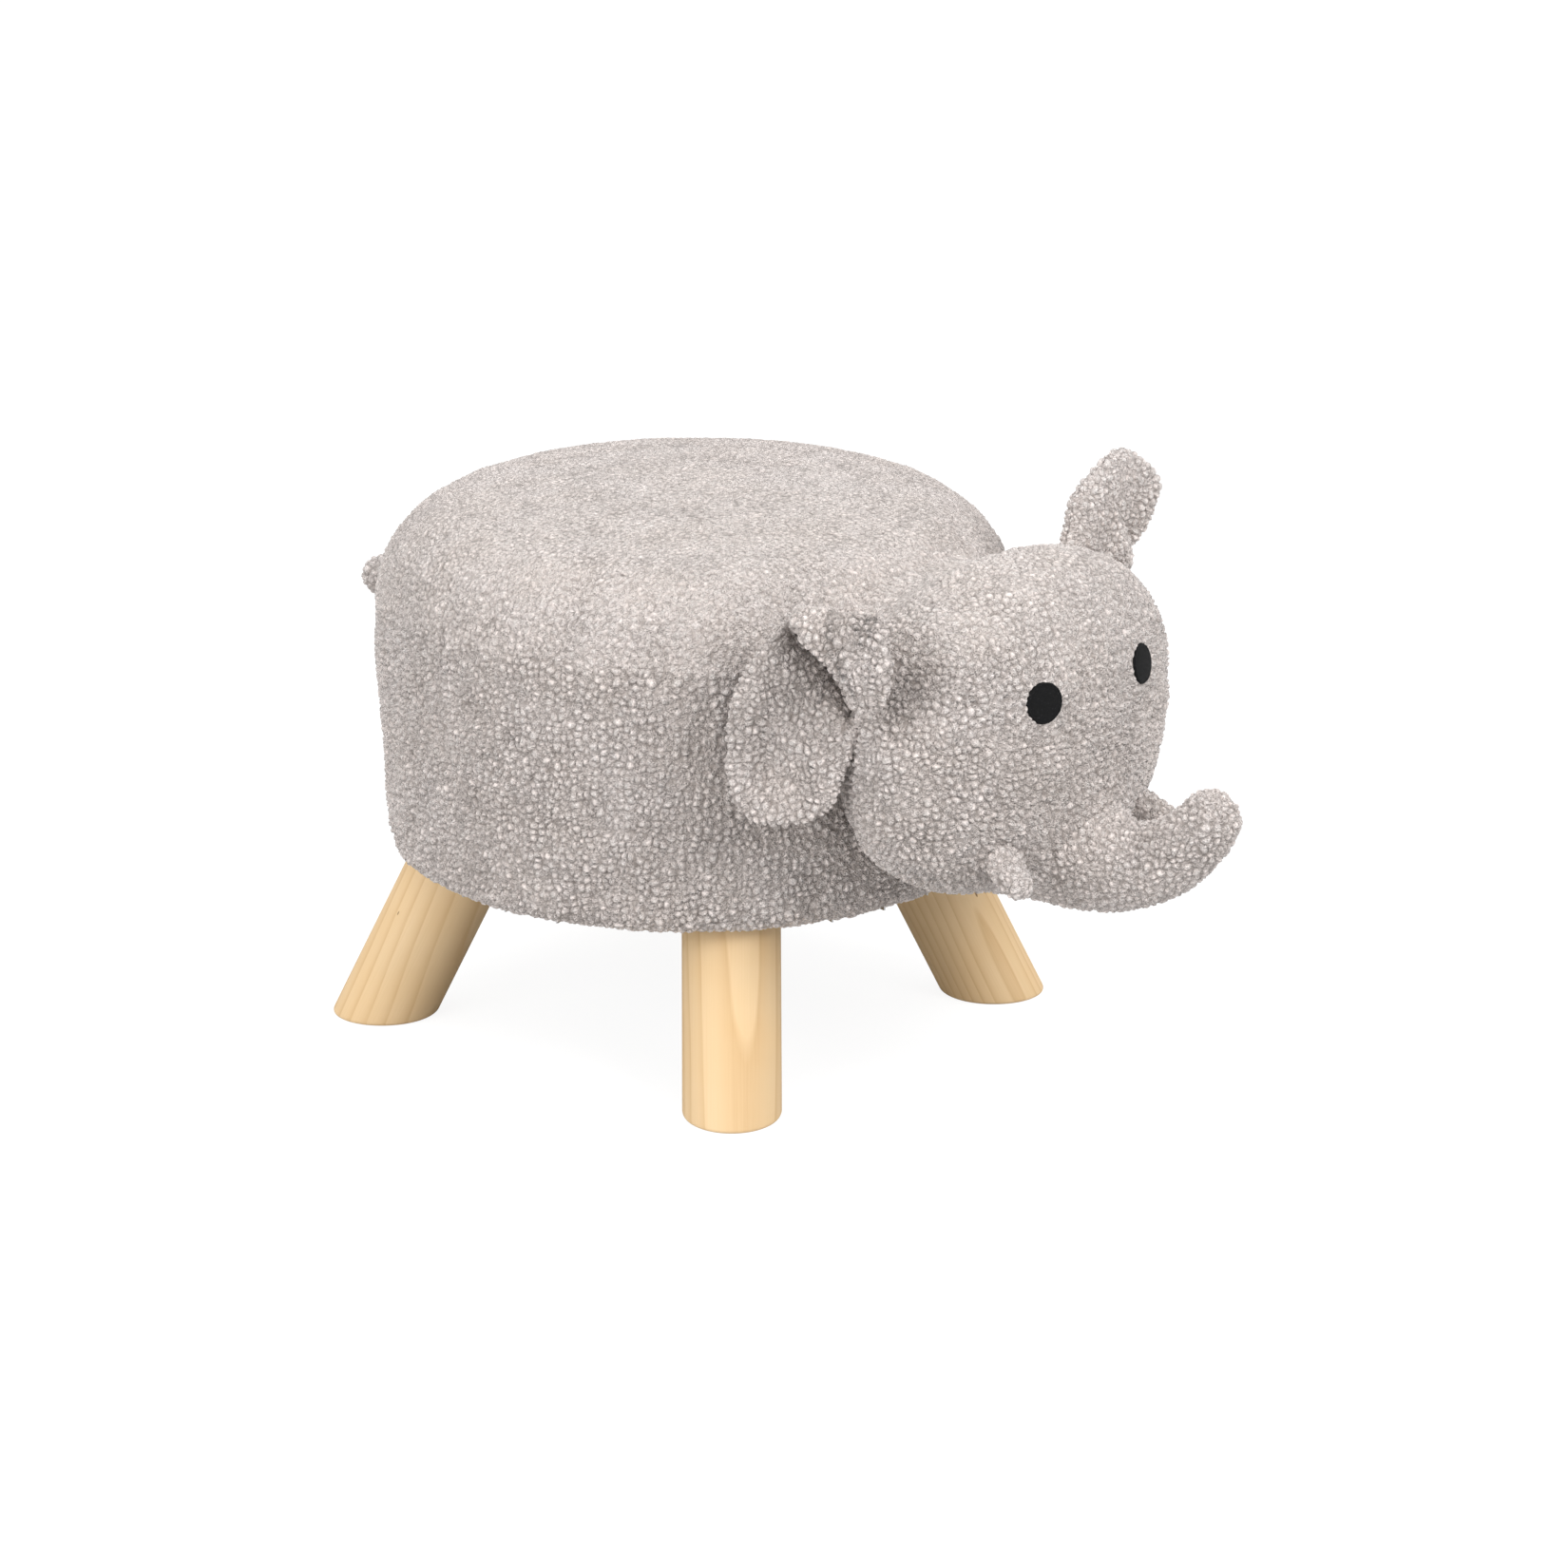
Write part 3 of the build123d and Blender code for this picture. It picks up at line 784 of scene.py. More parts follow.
trunkLook = {
    "bendRadius": 63.0,
    "rootAngle": 285.0,
    "tipAngle": 212.0,
    "radii": [17.0, 23.6, 23.2, 21.2, 19.0, 17.2, 15.8, 14.4, 13.0],
    "hidden": 20.0,         # how far the tube runs back inside the head
    "flare": 24.0,          # reach of the rounded corner between the trunk and the head
    "pile": 2.0,
    "fill": 0.7,
    "wall": 3.5,
    "blendTo": (0, -22, -4),    # an offset from the joint, along the trunk
}
trunkRoot = jointPlace("trunk_bend")[0]
bendCenter = trunkRoot[1:] - arc((0, 0), trunkLook["bendRadius"], trunkLook["rootAngle"],
                                 trunkLook["rootAngle"], 1)[0]


def trunkLine(count=80):
    # straight inside the head, then an arc that turns forwards and up
    bend = arc(bendCenter, trunkLook["bendRadius"], trunkLook["rootAngle"], trunkLook["tipAngle"], count)
    back = unit(bend[0] - bend[1]) * trunkLook["hidden"]
    flat = np.concatenate([[bend[0] + back], [bend[0] + back / 2], bend])
    return np.concatenate([np.zeros((len(flat), 1)), flat], 1)


def corner(distance, reach):
    # how far two soft forms swell where they meet, largest on their common line
    return reach / 4 * np.clip(1 - np.abs(distance) / reach, 0, 1) ** 2


def trunkDistance(points):
    # distance to the trunk's round surface: the least of those to its rings' middles, less their radii
    line = trunkLine(40)
    along = pathLengths(line)
    radii = np.interp(along, np.linspace(0, along[-1], len(trunkLook["radii"])), trunkLook["radii"])
    flat = points.reshape(-1, 3)
    return (np.linalg.norm(flat[:, None] - line[None], axis=-1) - radii).min(1).reshape(points.shape[:-1])


def bendTrunk(piece):
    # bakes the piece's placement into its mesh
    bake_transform(piece)


def trunk():
    piece = stuffedTube("trunkCover", trunkLine(), 220, 168, trunkLook, "trunk_cover", trunkLook["wall"],
                        lambda points: corner(headDistance(points), trunkLook["flare"]))
    bendTrunk(piece)


tuskLook = {
    "spread": 53.0,
    "height": {1: 127.5, -1: 131.0},    # left and right: the tusks are sewn on a little unevenly
    "toTip": {1: (6.0, -12.5, -7.5), -1: (-1.5, -11.0, -10.0)},
    "inside": 7.0,
    "radii": [6.0, 6.8, 7.2, 7.0, 6.2],
    "pile": 1.4,
    "fill": 0.8,
}


def tusk(name, side, node):
    root = headFront(side * tuskLook["spread"], tuskLook["height"][side])[0]
    tip = root + np.array(tuskLook["toTip"][side])
    line = np.linspace(root - unit(tip - root) * tuskLook["inside"], tip, 20)
    piece = stuffedTube(name, line, 84, 52, tuskLook, node, seed=41)
    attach(piece, "stool")


tailLook = {"sideways": 12.0, "length": 32.0, "droop": 10.0, "inside": 9.0,
            "radii": [5.5, 6.2, 6.6, 7.4, 8.6, 9.0], "pile": 1.6, "fill": 0.8}


def tail():
    root = jointPlace("tail_flap")[0]
    tip = root + np.array([-tailLook["sideways"], tailLook["length"], -tailLook["droop"]])
    start = root - np.array([0, tailLook["inside"], 0])
    share = np.linspace(0, 1, 30)[:, None]
    line = start * (1 - share) ** 2 + (root + [-2, 8, 1]) * 2 * share * (1 - share) + tip * share ** 2
    piece = stuffedTube("tailPiece", line, 96, 72, tailLook, "tail", seed=51)
    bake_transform(piece)


head()
trunk()
for tuskName, tuskSide, tuskNode in (("tuskLeft", 1, "tusk_left"), ("tuskRight", -1, "tusk_right")):
    tusk(tuskName, tuskSide, tuskNode)
tail()


# ---- ears: two sewn panels each ----

def smoothLoop(points, steps=24):
    # a closed curve through the points, each stretch bent by its neighbours (Catmull-Rom)
    p = np.asarray(points, float)
    before, after, later = np.roll(p, 1, 0), np.roll(p, -1, 0), np.roll(p, -2, 0)
    t = np.linspace(0, 1, steps, endpoint=False)[None, :, None]
    a, b, c, d = (v[:, None] for v in (before, p, after, later))
    curve = 2 * b + (c - a) * t + (2 * a - 5 * b + 4 * c - d) * t ** 2 + (3 * b - a - 3 * c + d) * t ** 3
    return 0.5 * curve.reshape(-1, 2)


def reachOf(outline, center, angle):
    # distance from the centre to the outline in each direction
    curve = smoothLoop(outline) - center
    turn = np.arctan2(curve[:, 1], curve[:, 0])
    return np.interp(angle, turn[np.argsort(turn)], np.hypot(*curve.T)[np.argsort(turn)], period=2 * np.pi)


def filled(loop, share, angle, waves=48):
    # the evenly filled inside of a loop: the loop's Fourier series, each wave fading towards the middle
    series = np.fft.fft(loop[:, 0] + 1j * loop[:, 1]) / len(loop)
    total = np.zeros(share.shape, complex)
    for wave in range(-waves, waves + 1):
        total += series[wave] * share ** abs(wave) * np.exp(1j * wave * angle)
    return np.stack([total.real, total.imag], -1)


def earPanel(name, node, look, shape, side, count, seed, shade):
    # a flat middle and a quarter-round rim, laid on the ear's bent middle surface
    share, angle = discGrid(count)
    edge, half = look["edge"], look["half"]
    loop = smoothLoop(look["outline"])
    loop = evenPath(np.concatenate([loop, loop[:1]]), 721)[:-1]
    ahead = np.roll(loop, -4, 0) - np.roll(loop, 4, 0)
    square = unit(np.stack([ahead[:, 1], -ahead[:, 0]], -1))
    square *= np.sign((square * (loop - loop.mean(0))).sum())
    at = np.linspace(0, 2 * np.pi, len(loop), endpoint=False)
    outwards = unit(np.stack([np.interp(angle, at, square[:, i], period=2 * np.pi) for i in (0, 1)], -1))
    within = np.clip(share / look["rimStart"], 0, 1)
    over = np.clip((share - look["rimStart"]) / (1 - look["rimStart"]), 0, 1) * np.pi / 2
    flat = filled(loop - square * edge, within, angle) + outwards * (edge * np.sin(over))[..., None]
    plump = look["plump"] * (1 - within ** 2)
    middle, across = shape(flat)
    rimwards, sideways, upwards = (
        shape(flat + 0.3 * step)[0] - shape(flat - 0.3 * step)[0]
        for step in (outwards, np.array([1.0, 0]), np.array([0, 1.0])))
    rimwards, facing = unit(rimwards), unit(np.cross(sideways, upwards))
    facing *= np.sign((facing * across).sum(-1, keepdims=True))
    base = middle + facing * (side * np.cos(over) * (half + plump))[..., None]
    normal = facing * (side * np.cos(over))[..., None] + rimwards * np.sin(over)[..., None]
    outside, pile = fluff(base, normal, look["pile"], seed)
    # shade(flat) paints shade into the pile value where it is above 0, and light where it is below 0
    patch = shell(outside, middle + facing * side * look["between"], pile * (1 - shade(flat)))
    piece = buildPiece(name, patch, boucle, None)
    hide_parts(node)
    return piece


# outline points and creases of this ear: distance along its root seam, and out from it
leftEarLook = {
    "center": (0.0, 17.0),
    "outline": [(-24, -17), (-28, -3), (-29, 11), (-22.5, 27.5), (-13, 41), (-1, 48), (13, 49), (22, 44.5),
                (25.5, 33), (25.5, 22), (23.5, 12), (20, 4), (15, -4), (10, -12), (-8, -13)],
    "creaseTop": (-2.0, 22.0),
    "creaseFoot": (20.0, 6.0),
    "ridge": 5.0,
    "hollow": 6.5,
    "cup": 4.5,
    "edge": 4.6,
    "rimStart": 0.85,
    "lean": -0.2,
    "half": 4.0,
    "between": 0.15,        # half the space between the two panels
    "plump": 0.8,
    "wave": 1.2,
    "pile": 1.9,
    "paintedLight": 0.25,        # painted light: share by which the pile value of this whole ear is raised, so it shows lighter
}
leftRoot, leftAxis = jointPlace("ear_left_flap")
leftAlong = -leftAxis / np.linalg.norm(leftAxis)
leftOut = np.cross(leftAlong, [0, 1, 0])
leftOut *= np.sign(leftOut[2])


def leftEarShape(flat):
    # the panel's plane, pushed forwards in a ridge before the crease and back in a hollow behind it
    top, foot = np.array(leftEarLook["creaseTop"]), np.array(leftEarLook["creaseFoot"])
    length = np.linalg.norm(foot - top)
    line = (foot - top) / length
    across = (flat - top) @ np.array([-line[1], line[0]])
    grows = smooth((flat - top) @ line / length * 1.3)
    behind = 0.5 + 0.5 * np.tanh(across / 1.6)
    push = grows * (leftEarLook["ridge"] * np.exp(-(across / 9) ** 2) * (1 - behind)
                    - leftEarLook["hollow"] * np.exp(-((across - 3) / 8) ** 2) * behind)
    away = flat - np.array(leftEarLook["center"])
    rimmed = smooth((np.hypot(away[..., 0], away[..., 1]) - 16) / 18)
    push = push + leftEarLook["cup"] * rimmed * smooth(away[..., 0] / 20)
    push = push + leftEarLook["wave"] * noise(np.concatenate([flat, flat[..., :1] * 0], -1), 17.0, 61)
    forwards = np.array([0, -1.0, 0])
    along = flat[..., :1] + leftEarLook["lean"] * np.maximum(flat[..., 1:], 0)
    middle = leftRoot + along * leftAlong + flat[..., 1:] * leftOut + push[..., None] * forwards
    return middle, np.broadcast_to(forwards, middle.shape)


def leftPaintedLight(flat):
    # painted light over the whole ear: a value below 0 makes its pile lighter
    return -leftEarLook["paintedLight"]


def leftEar():
    for name, node, side in (("earLeftLining", "ear_left_lining", 1),
                             ("earLeftOuter", "ear_left_outer", -1)):
        piece = earPanel(name, node, leftEarLook, leftEarShape, side, 168, 71, leftPaintedLight)
        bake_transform(piece)


# this ear laid flat: distance back from the pinch at its root, and up from there and on over the fold
rightEarLook = {
    "outline": [(-1, 2), (3, -12), (8, -24), (12.5, -36), (21, -43.5), (32, -46), (44, -45.5), (53, -39.5),
                (56, -30), (57, -18), (56.5, -5), (54.5, 7), (50, 19), (43, 29.5), (35.5, 37.5), (30, 44.5),
                (27.5, 51), (25, 57), (20, 63.5), (14.5, 68.5), (8.2, 73.5), (0.7, 83), (-2.5, 92),
                (-6.5, 94.5), (-11, 92.5), (-16, 87), (-18.5, 78), (-18, 64.5), (-14.5, 52), (-10, 42),
                (-6, 24)],
    "lobePoints": 14,       # how many of them go round the lobe, and its middle
    "lobeMiddle": (28.0, -8.0),
    "fold": 38.5,           # height at which the ear starts to turn over
    "foldRadius": 8.2,
    "lean": 2.0,            # how far the flap's tip comes back in towards the root
    "bulge": 2.5,
    "rim": 6.5,             # how far the lobe's rim turns out
    "pocket": 10.0,         # depth of the pocket under the flap, its middle and its size
    "pocketPlace": (17, 24),
    "pocketSize": (15, 20),
    "creaseLine": [(32, 35), (23, 24.5), (14, 13.5), (6, 2)],    # runs just below the flap's edge
    "crease": 11.0,
    "creaseWidth": 5.5,
    "paintedShadeEnd": 47.0,       # height above which no shade is painted along the crease
    "edge": 3.8,
    "rimStart": 0.88,
    "half": 3.3,
    "between": 0.15,
    "plump": 0.5,
    "pile": 2.0,
}
rightPinch = np.array([-97.5, -117.5, 193.0])
rightBack = np.array([-0.316, 0.949, 0])
rightOut = np.array([-0.949, -0.316, 0])
rightUp = np.array([0, 0, 1.0])


def rightCrease(flat):
    # 1 on the line under the flap's edge, less away from it
    away = np.full(flat.shape[:-1], 99.0)
    line = np.array(rightEarLook["creaseLine"], float)
    for start, end in zip(line[:-1], line[1:]):
        share = np.clip(((flat - start) @ (end - start)) / ((end - start) @ (end - start)), 0, 1)
        away = np.minimum(away, np.linalg.norm(flat - start - share[..., None] * (end - start), axis=-1))
    return np.exp(-(away / rightEarLook["creaseWidth"]) ** 2)


def rightEarShape(flat):
    # upright lobe, a half circle over the top, and the flap that comes down outside it
    look = rightEarLook
    back, height = flat[..., 0], flat[..., 1]
    radius = look["foldRadius"]
    turn = np.clip((height - look["fold"]) / radius, 0, np.pi)
    down = np.clip(height - look["fold"] - np.pi * radius, 0, None)
    up = np.minimum(height, look["fold"]) + radius * np.sin(turn) - down
    out = radius * (1 - np.cos(turn))
    lobe = 1 - smooth(turn)
    away = flat - np.array(look["lobeMiddle"])
    reach = reachOf(look["outline"][:look["lobePoints"]], np.array(look["lobeMiddle"]),
                    np.arctan2(away[..., 1], away[..., 0]))
    nearRim = np.clip(np.hypot(away[..., 0], away[..., 1]) / reach, 0, 1.3)
    inPocket = (flat - np.array(look["pocketPlace"])) / np.array(look["pocketSize"])
    out = out + lobe * (look["rim"] * smooth((nearRim - 0.5) / 0.35) * smooth((back - 22) / 22)
                        - look["pocket"] * np.exp(-(inPocket ** 2).sum(-1)))
    out = out - lobe * look["crease"] * rightCrease(flat)
    flap = smooth(down / 12)
    out = out + flap * (look["bulge"] - (look["lean"] + look["bulge"]) * smooth(down / 36))
    out = out + 1.0 * noise(np.stack([back, height, back * 0], -1), 19.0, 62) * (lobe + flap * 0.6)
    middle = rightPinch + back[..., None] * rightBack + up[..., None] * rightUp + out[..., None] * rightOut
    across = np.cos(turn)[..., None] * rightOut - np.sin(turn)[..., None] * rightUp
    return middle, across


def rightPaintedShade(flat):
    # painted shade: the pile darkened in the pocket, and a little under the fold
    look = rightEarLook
    fold = look["fold"] + np.pi * look["foldRadius"]
    underFoldShade = np.exp(-((flat[..., 1] - fold + 6) / 9) ** 2) * (flat[..., 0] < 12)
    below = smooth((look["paintedShadeEnd"] - flat[..., 1]) / 4)
    return np.clip(1.1 * rightCrease(flat) * below + 0.30 * underFoldShade, 0, 0.95)


def rightEar():
    for name, node, side in (("earRightLining", "ear_right_lining", 1),
                             ("earRightOuter", "ear_right_outer", -1)):
        piece = earPanel(name, node, rightEarLook, rightEarShape, side, 240, 72, rightPaintedShade)
        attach(piece, "ear_right")


leftEar()
rightEar()


# ---- eyes ----

def eyeMaterial():
    # satin stitch: fine threads side by side that wander a little, pulled in at each stitch
    material, tree, shader = newMaterial("eyeThread")
    uv = addNode(tree, "UVMap", {"uv_map": "stitch"})
    parts = addNode(tree, "SeparateXYZ", i0=uv.outputs[0])
    wander = addNode(tree, "TexNoise", Vector=uv.outputs[0], Scale=3.0, Detail=2.0)
    row = times(tree, parts.outputs[0], eyeLook["threadsPerRadius"])
    row = plus(tree, row, times(tree, wander.outputs[0], 2.5))
    thread = calc(tree, "ABSOLUTE", calc(tree, "SINE", times(tree, row, math.pi)))
    length = plus(tree, times(tree, parts.outputs[1], 7.0), times(tree, row, 1.7))
    stitches = calc(tree, "ABSOLUTE", calc(tree, "SINE", length))
    height = times(tree, thread, plus(tree, times(tree, stitches, 0.3), 0.7))
    speck = addNode(tree, "TexNoise", Vector=uv.outputs[0], Scale=11.0, Detail=1.0)
    share = spread(tree, speck.outputs[0], 0.66, 0.74)
    color = colorMix(tree, share, eyeLook["thread"], eyeLook["threadLight"])
    dress(tree, shader, color, height, 0.7, 0.00035, 0.16, 0.62)
    return material


def addUv(piece, name, values):
    # values belong to points; each corner of a face takes its point's
    corners = np.empty(len(piece.data.loops), np.int32)
    piece.data.loops.foreach_get("vertex_index", corners)
    layer = piece.data.uv_layers.new(name=name)
    layer.data.foreach_set("uv", np.asarray(values, np.float32)[corners].reshape(-1))


def eye(name, side, node, material):
    # a shallow dome with a raised border, laid square to the face
    center, outwards = headFront(side * eyeLook["spread"], eyeLook["height"])
    across = unit(np.cross([0, 0, 1.0], outwards))
    up = np.cross(outwards, across)
    share, angle = discGrid(96)
    x, y = share * np.cos(angle), share * np.sin(angle)
    ripple = 1 + 0.012 * noise(np.stack([x * 9, y * 9, x * 0 + side], -1), 1.0, 81) * share
    border = np.exp(-((share - 0.93) / 0.055) ** 2)
    rise = eyeLook["thick"] * np.sqrt(np.clip(1 - share ** 10, 0, 1)) * (0.86 + 0.14 * (1 - share ** 2))
    rise = rise + eyeLook["borderRise"] * border
    laid = across * (x * ripple * eyeLook["wider"][side])[..., None] + up * (y * ripple)[..., None]
    spot = center + laid * eyeLook["radius"]
    spot = spot - outwards * headDistance(spot)[..., None]
    patch = shell(spot + outwards * rise[..., None], spot - outwards * 1.5)
    piece = buildPiece(name, patch, material)
    flat = np.stack([x, y], -1)
    addUv(piece, "stitch", np.concatenate([flat.reshape(-1, 2), flat[::4, ::4].reshape(-1, 2)]))
    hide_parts(node)


eyeThread = eyeMaterial()
eye("eyeLeft", 1, "eye_left", eyeThread)
eye("eyeRight", -1, "eye_right", eyeThread)


# ---- wood ----

def grainGroup():
    # rings round a far-off pith and long fibres, for wood whose grain runs along Z of the given place
    group, given, out = newGroup("woodGrain", "Ring width", 0.003, ("Ring", "Fibre", "Knot"))

    def scaled(x, y, z, spot=given.outputs[0]):
        node = addNode(group, "VectorMath", {"operation": "MULTIPLY"}, i0=spot, i1=(x, y, z))
        return node.outputs[0]

    sway = addNode(group, "TexNoise", Vector=scaled(14, 14, 5), Scale=1.0, Detail=2.0)
    swing = addNode(group, "VectorMath", {"operation": "MULTIPLY_ADD"}, i0=sway.outputs["Color"],
                    i1=(0.010, 0.010, 0), i2=given.outputs[0])
    away = addNode(group, "VectorMath", {"operation": "LENGTH"},
                   i0=scaled(1, 1, 0.05, swing.outputs[0]))
    turns = calc(group, "DIVIDE", away.outputs["Value"], given.outputs[1])
    rise = calc(group, "FRACT", turns)
    late = calc(group, "POWER", rise, 3.5)
    fall = times(group, calc(group, "SUBTRACT", rise, 0.94), 16.0)
    fall = calc(group, "SUBTRACT", 1.0, fall, True)
    feed(group, out.inputs[0], times(group, late, fall))
    fibres = addNode(group, "TexNoise", Vector=scaled(1500, 1500, 22), Scale=1.0, Detail=3.0)
    feed(group, out.inputs[1], fibres.outputs[0])
    knots = addNode(group, "TexVoronoi", {"feature": "F1"}, Vector=scaled(100, 100, 34), Scale=1.0)
    rare = addNode(group, "SeparateColor", i0=knots.outputs["Color"])
    size = times(group, calc(group, "SUBTRACT", rare.outputs[0], 0.52), 0.24)
    dot = calc(group, "SUBTRACT", size, knots.outputs["Distance"])
    feed(group, out.inputs[2], times(group, dot, 60.0, True))
    return group


woodGrain = grainGroup()


def woodColors(tree, vector, look):
    # early wood, late wood, streaks of fibre and small dark specks; gives the colour, height and fibre
    grain = addNode(tree, "Group", {"node_tree": woodGrain}, i0=vector, i1=look["ring"])
    streak = spread(tree, grain.outputs[1], 0.32, 0.70, 0.0, look["streaks"])
    rings = times(tree, grain.outputs[0], look["rings"])
    color = colorMix(tree, rings, look["early"], look["late"])
    color = colorMix(tree, streak, color, look["fibre"])
    color = colorMix(tree, times(tree, grain.outputs[2], look["knots"]), color, look["knot"])
    blotch = addNode(tree, "TexNoise", Vector=vector, Scale=30.0, Detail=2.0)
    share = spread(tree, blotch.outputs[0], 0.35, 0.65, 0.0, 0.35)
    color = colorMix(tree, share, color, look["blotch"], "MULTIPLY")
    height = plus(tree, times(tree, grain.outputs[1], 0.7), times(tree, grain.outputs[0], 0.3))
    return color, height, grain.outputs[1]


pineLook = {
    "early": (0.765, 0.560, 0.330),
    "late": (0.560, 0.345, 0.155),
    "fibre": (0.720, 0.520, 0.290),
    "knot": (0.180, 0.085, 0.030),
    "blotch": (0.97, 0.90, 0.78),
    "ring": 0.0046,
    "rings": 0.75,
    "streaks": 0.55,
    "knots": 0.85,
    "footRound": 1.8,
    "pith": (0.034, 0.018, 0.0),
}


def pineMaterial():
    material, tree, shader = newMaterial("pine")
    dowel = addNode(tree, "Attribute", {"attribute_name": "dowel"})
    color, height, fibre = woodColors(tree, dowel.outputs["Vector"], pineLook)
    dress(tree, shader, color, height, 0.35, 0.00012, 0.30, spread(tree, fibre, 0.0, 1.0, 0.50, 0.66))
    return material


def addVectors(piece, name, values):
    layer = piece.data.attributes.new(name, "FLOAT_VECTOR", "POINT")
    layer.data.foreach_set("vector", np.asarray(values, np.float32).reshape(-1))


def leg(node, number, material):
    # a dowel between the floor and the board: cut flat at both ends, its foot's edge rounded
    source = bpy.data.objects[node].data
    solid = np.empty(len(source.vertices) * 3, np.float32)
    source.vertices.foreach_get("co", solid)
    solid = solid.reshape(-1, 3) / mm
    low, high = nodeBox(node)
    rims = [solid[np.abs(solid[:, 2] - level) < 0.05] for level in (low[2], high[2])]
    ends = np.array([(rim.min(0) + rim.max(0)) / 2 for rim in rims])
    axis = unit(ends[1] - ends[0])
    side = unit(np.cross(axis, [0, 0, 1.0]))
    out = np.cross(axis, side)

    def cutAt(points, level):
        # slides points along the dowel until they are at a height
        return points + axis * ((level - points[:, 2]) / axis[2])[:, None]

    ring = solid[solid[:, 2] > high[2] - 0.05] - ends[1]
    radius = np.abs(ring @ side).max()
    angle = np.linspace(0, 2 * np.pi, 120, endpoint=False)
    rounding = pineLook["footRound"]
    turn = np.linspace(0, np.pi / 2, 9)
    reaches = np.concatenate([[radius * 0.5], radius - rounding + rounding * np.sin(turn)])
    lifts = np.concatenate([[0], rounding * (1 - np.cos(turn))])
    foot = cutAt(ends[:1], 0)[0]
    ring = side * np.cos(angle)[:, None] + out * np.sin(angle)[:, None]
    rows = [cutAt(foot + ring * reach, lift) for reach, lift in zip(reaches, lifts)]
    first = rows[-1]
    across = first - foot - axis * ((first - foot) @ axis)[:, None]
    last = cutAt(foot + across, high[2] - 0.1)
    rows += [first + (last - first) * share for share in np.linspace(0, 1, 28)[1:]]
    rows.append(cutAt(foot + across * 0.5, high[2] - 0.1))
    grid = np.stack(rows)
    patch = newPatch()
    outer = place(patch, grid)
    cells(patch, outer, True)
    fan(patch, outer[0], grid[0].mean(0))
    fan(patch, lastRing(outer), grid[-1].mean(0))
    name = "leg" + "".join(part.title() for part in node.split("_")[1:])
    piece = buildPiece(name, patch, material)
    points = np.concatenate(patch["points"]) - foot
    turned = number * 1.9
    own = np.stack([points @ side, points @ out, points @ axis], -1) * mm
    own = own @ np.array(Matrix.Rotation(-turned, 3, "Z"))
    addVectors(piece, "dowel", own + np.array(pineLook["pith"]) + [0, 0, number * 0.31])
    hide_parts(node)


pine = pineMaterial()
for legNumber, legPlace in enumerate(("front_left", "front_right", "rear_left", "rear_right")):
    leg("leg_" + legPlace, legNumber, pine)


# ---- boards, posts, wall and metal: the carried-over solids get their own surfaces ----

softwoodLook = dict(pineLook, early=(0.70, 0.52, 0.31), late=(0.52, 0.32, 0.15), ring=0.0028, rings=0.7)
plyLook = dict(pineLook, early=(0.72, 0.57, 0.38), late=(0.58, 0.42, 0.25), fibre=(0.62, 0.46, 0.28),
               glue=(0.22, 0.13, 0.07), ring=0.014, rings=0.4, knots=0.0, thickness=0.0015,
               offset=(0.3, 0.2, 0.1))


def finish(node, material):
    data = bpy.data.objects[node].data
    for number in range(len(data.materials)):
        data.materials[number] = material
    if not len(data.materials):
        data.materials.append(material)


def softwoodMaterial():
    material, tree, shader = newMaterial("softwood")
    color, height = woodColors(tree, ownPlace(tree), softwoodLook)[:2]
    dress(tree, shader, color, height, 0.5, 0.0002, 0.3, 0.72)
    return material


def plywoodMaterial():
    # the plies lie one on another in Z, the grain of each square to the next
    material, tree, shader = newMaterial("plywood")
    spot = ownPlace(tree)
    turned = []
    for turn in ((0, math.pi / 2, 0), (math.pi / 2, 0, 0)):
        mapping = addNode(tree, "Mapping", Vector=spot, Rotation=turn, Location=plyLook["offset"])
        turned.append(woodColors(tree, mapping.outputs[0], plyLook))
    parts = addNode(tree, "SeparateXYZ", i0=spot)
    ply = calc(tree, "DIVIDE", parts.outputs[2], plyLook["thickness"])
    odd = calc(tree, "GREATER_THAN", calc(tree, "FRACT", times(tree, ply, 0.5)), 0.5)
    color = colorMix(tree, odd, turned[0][0], turned[1][0])
    line = calc(tree, "LESS_THAN", calc(tree, "FRACT", ply), 0.12)
    geometry = addNode(tree, "NewGeometry")
    facing = addNode(tree, "SeparateXYZ", i0=geometry.outputs["Normal"])
    edge = calc(tree, "LESS_THAN", calc(tree, "ABSOLUTE", facing.outputs[2]), 0.5)
    glued = times(tree, times(tree, line, edge), 0.7)
    color = colorMix(tree, glued, color, plyLook["glue"])
    dress(tree, shader, color, turned[0][1], 0.5, 0.0002, 0.3, 0.7)
    return material


def specked(name, dark, light, scale, rough, bumpDepth, metallic=0.0):
    # two colours run together by noise, which also makes the surface's height
    material, tree, shader = newMaterial(name)
    speck = addNode(tree, "TexNoise", Vector=ownPlace(tree), Scale=scale, Detail=4.0, Roughness=0.65)
    color = colorMix(tree, spread(tree, speck.outputs[0], 0.35, 0.65), dark, light)
    roughness = spread(tree, speck.outputs[0], 0.3, 0.7, *rough)
    dress(tree, shader, color, speck.outputs[0], 0.6, bumpDepth, 0.5, roughness)
    shader.inputs["Metallic"].default_value = metallic
    return material


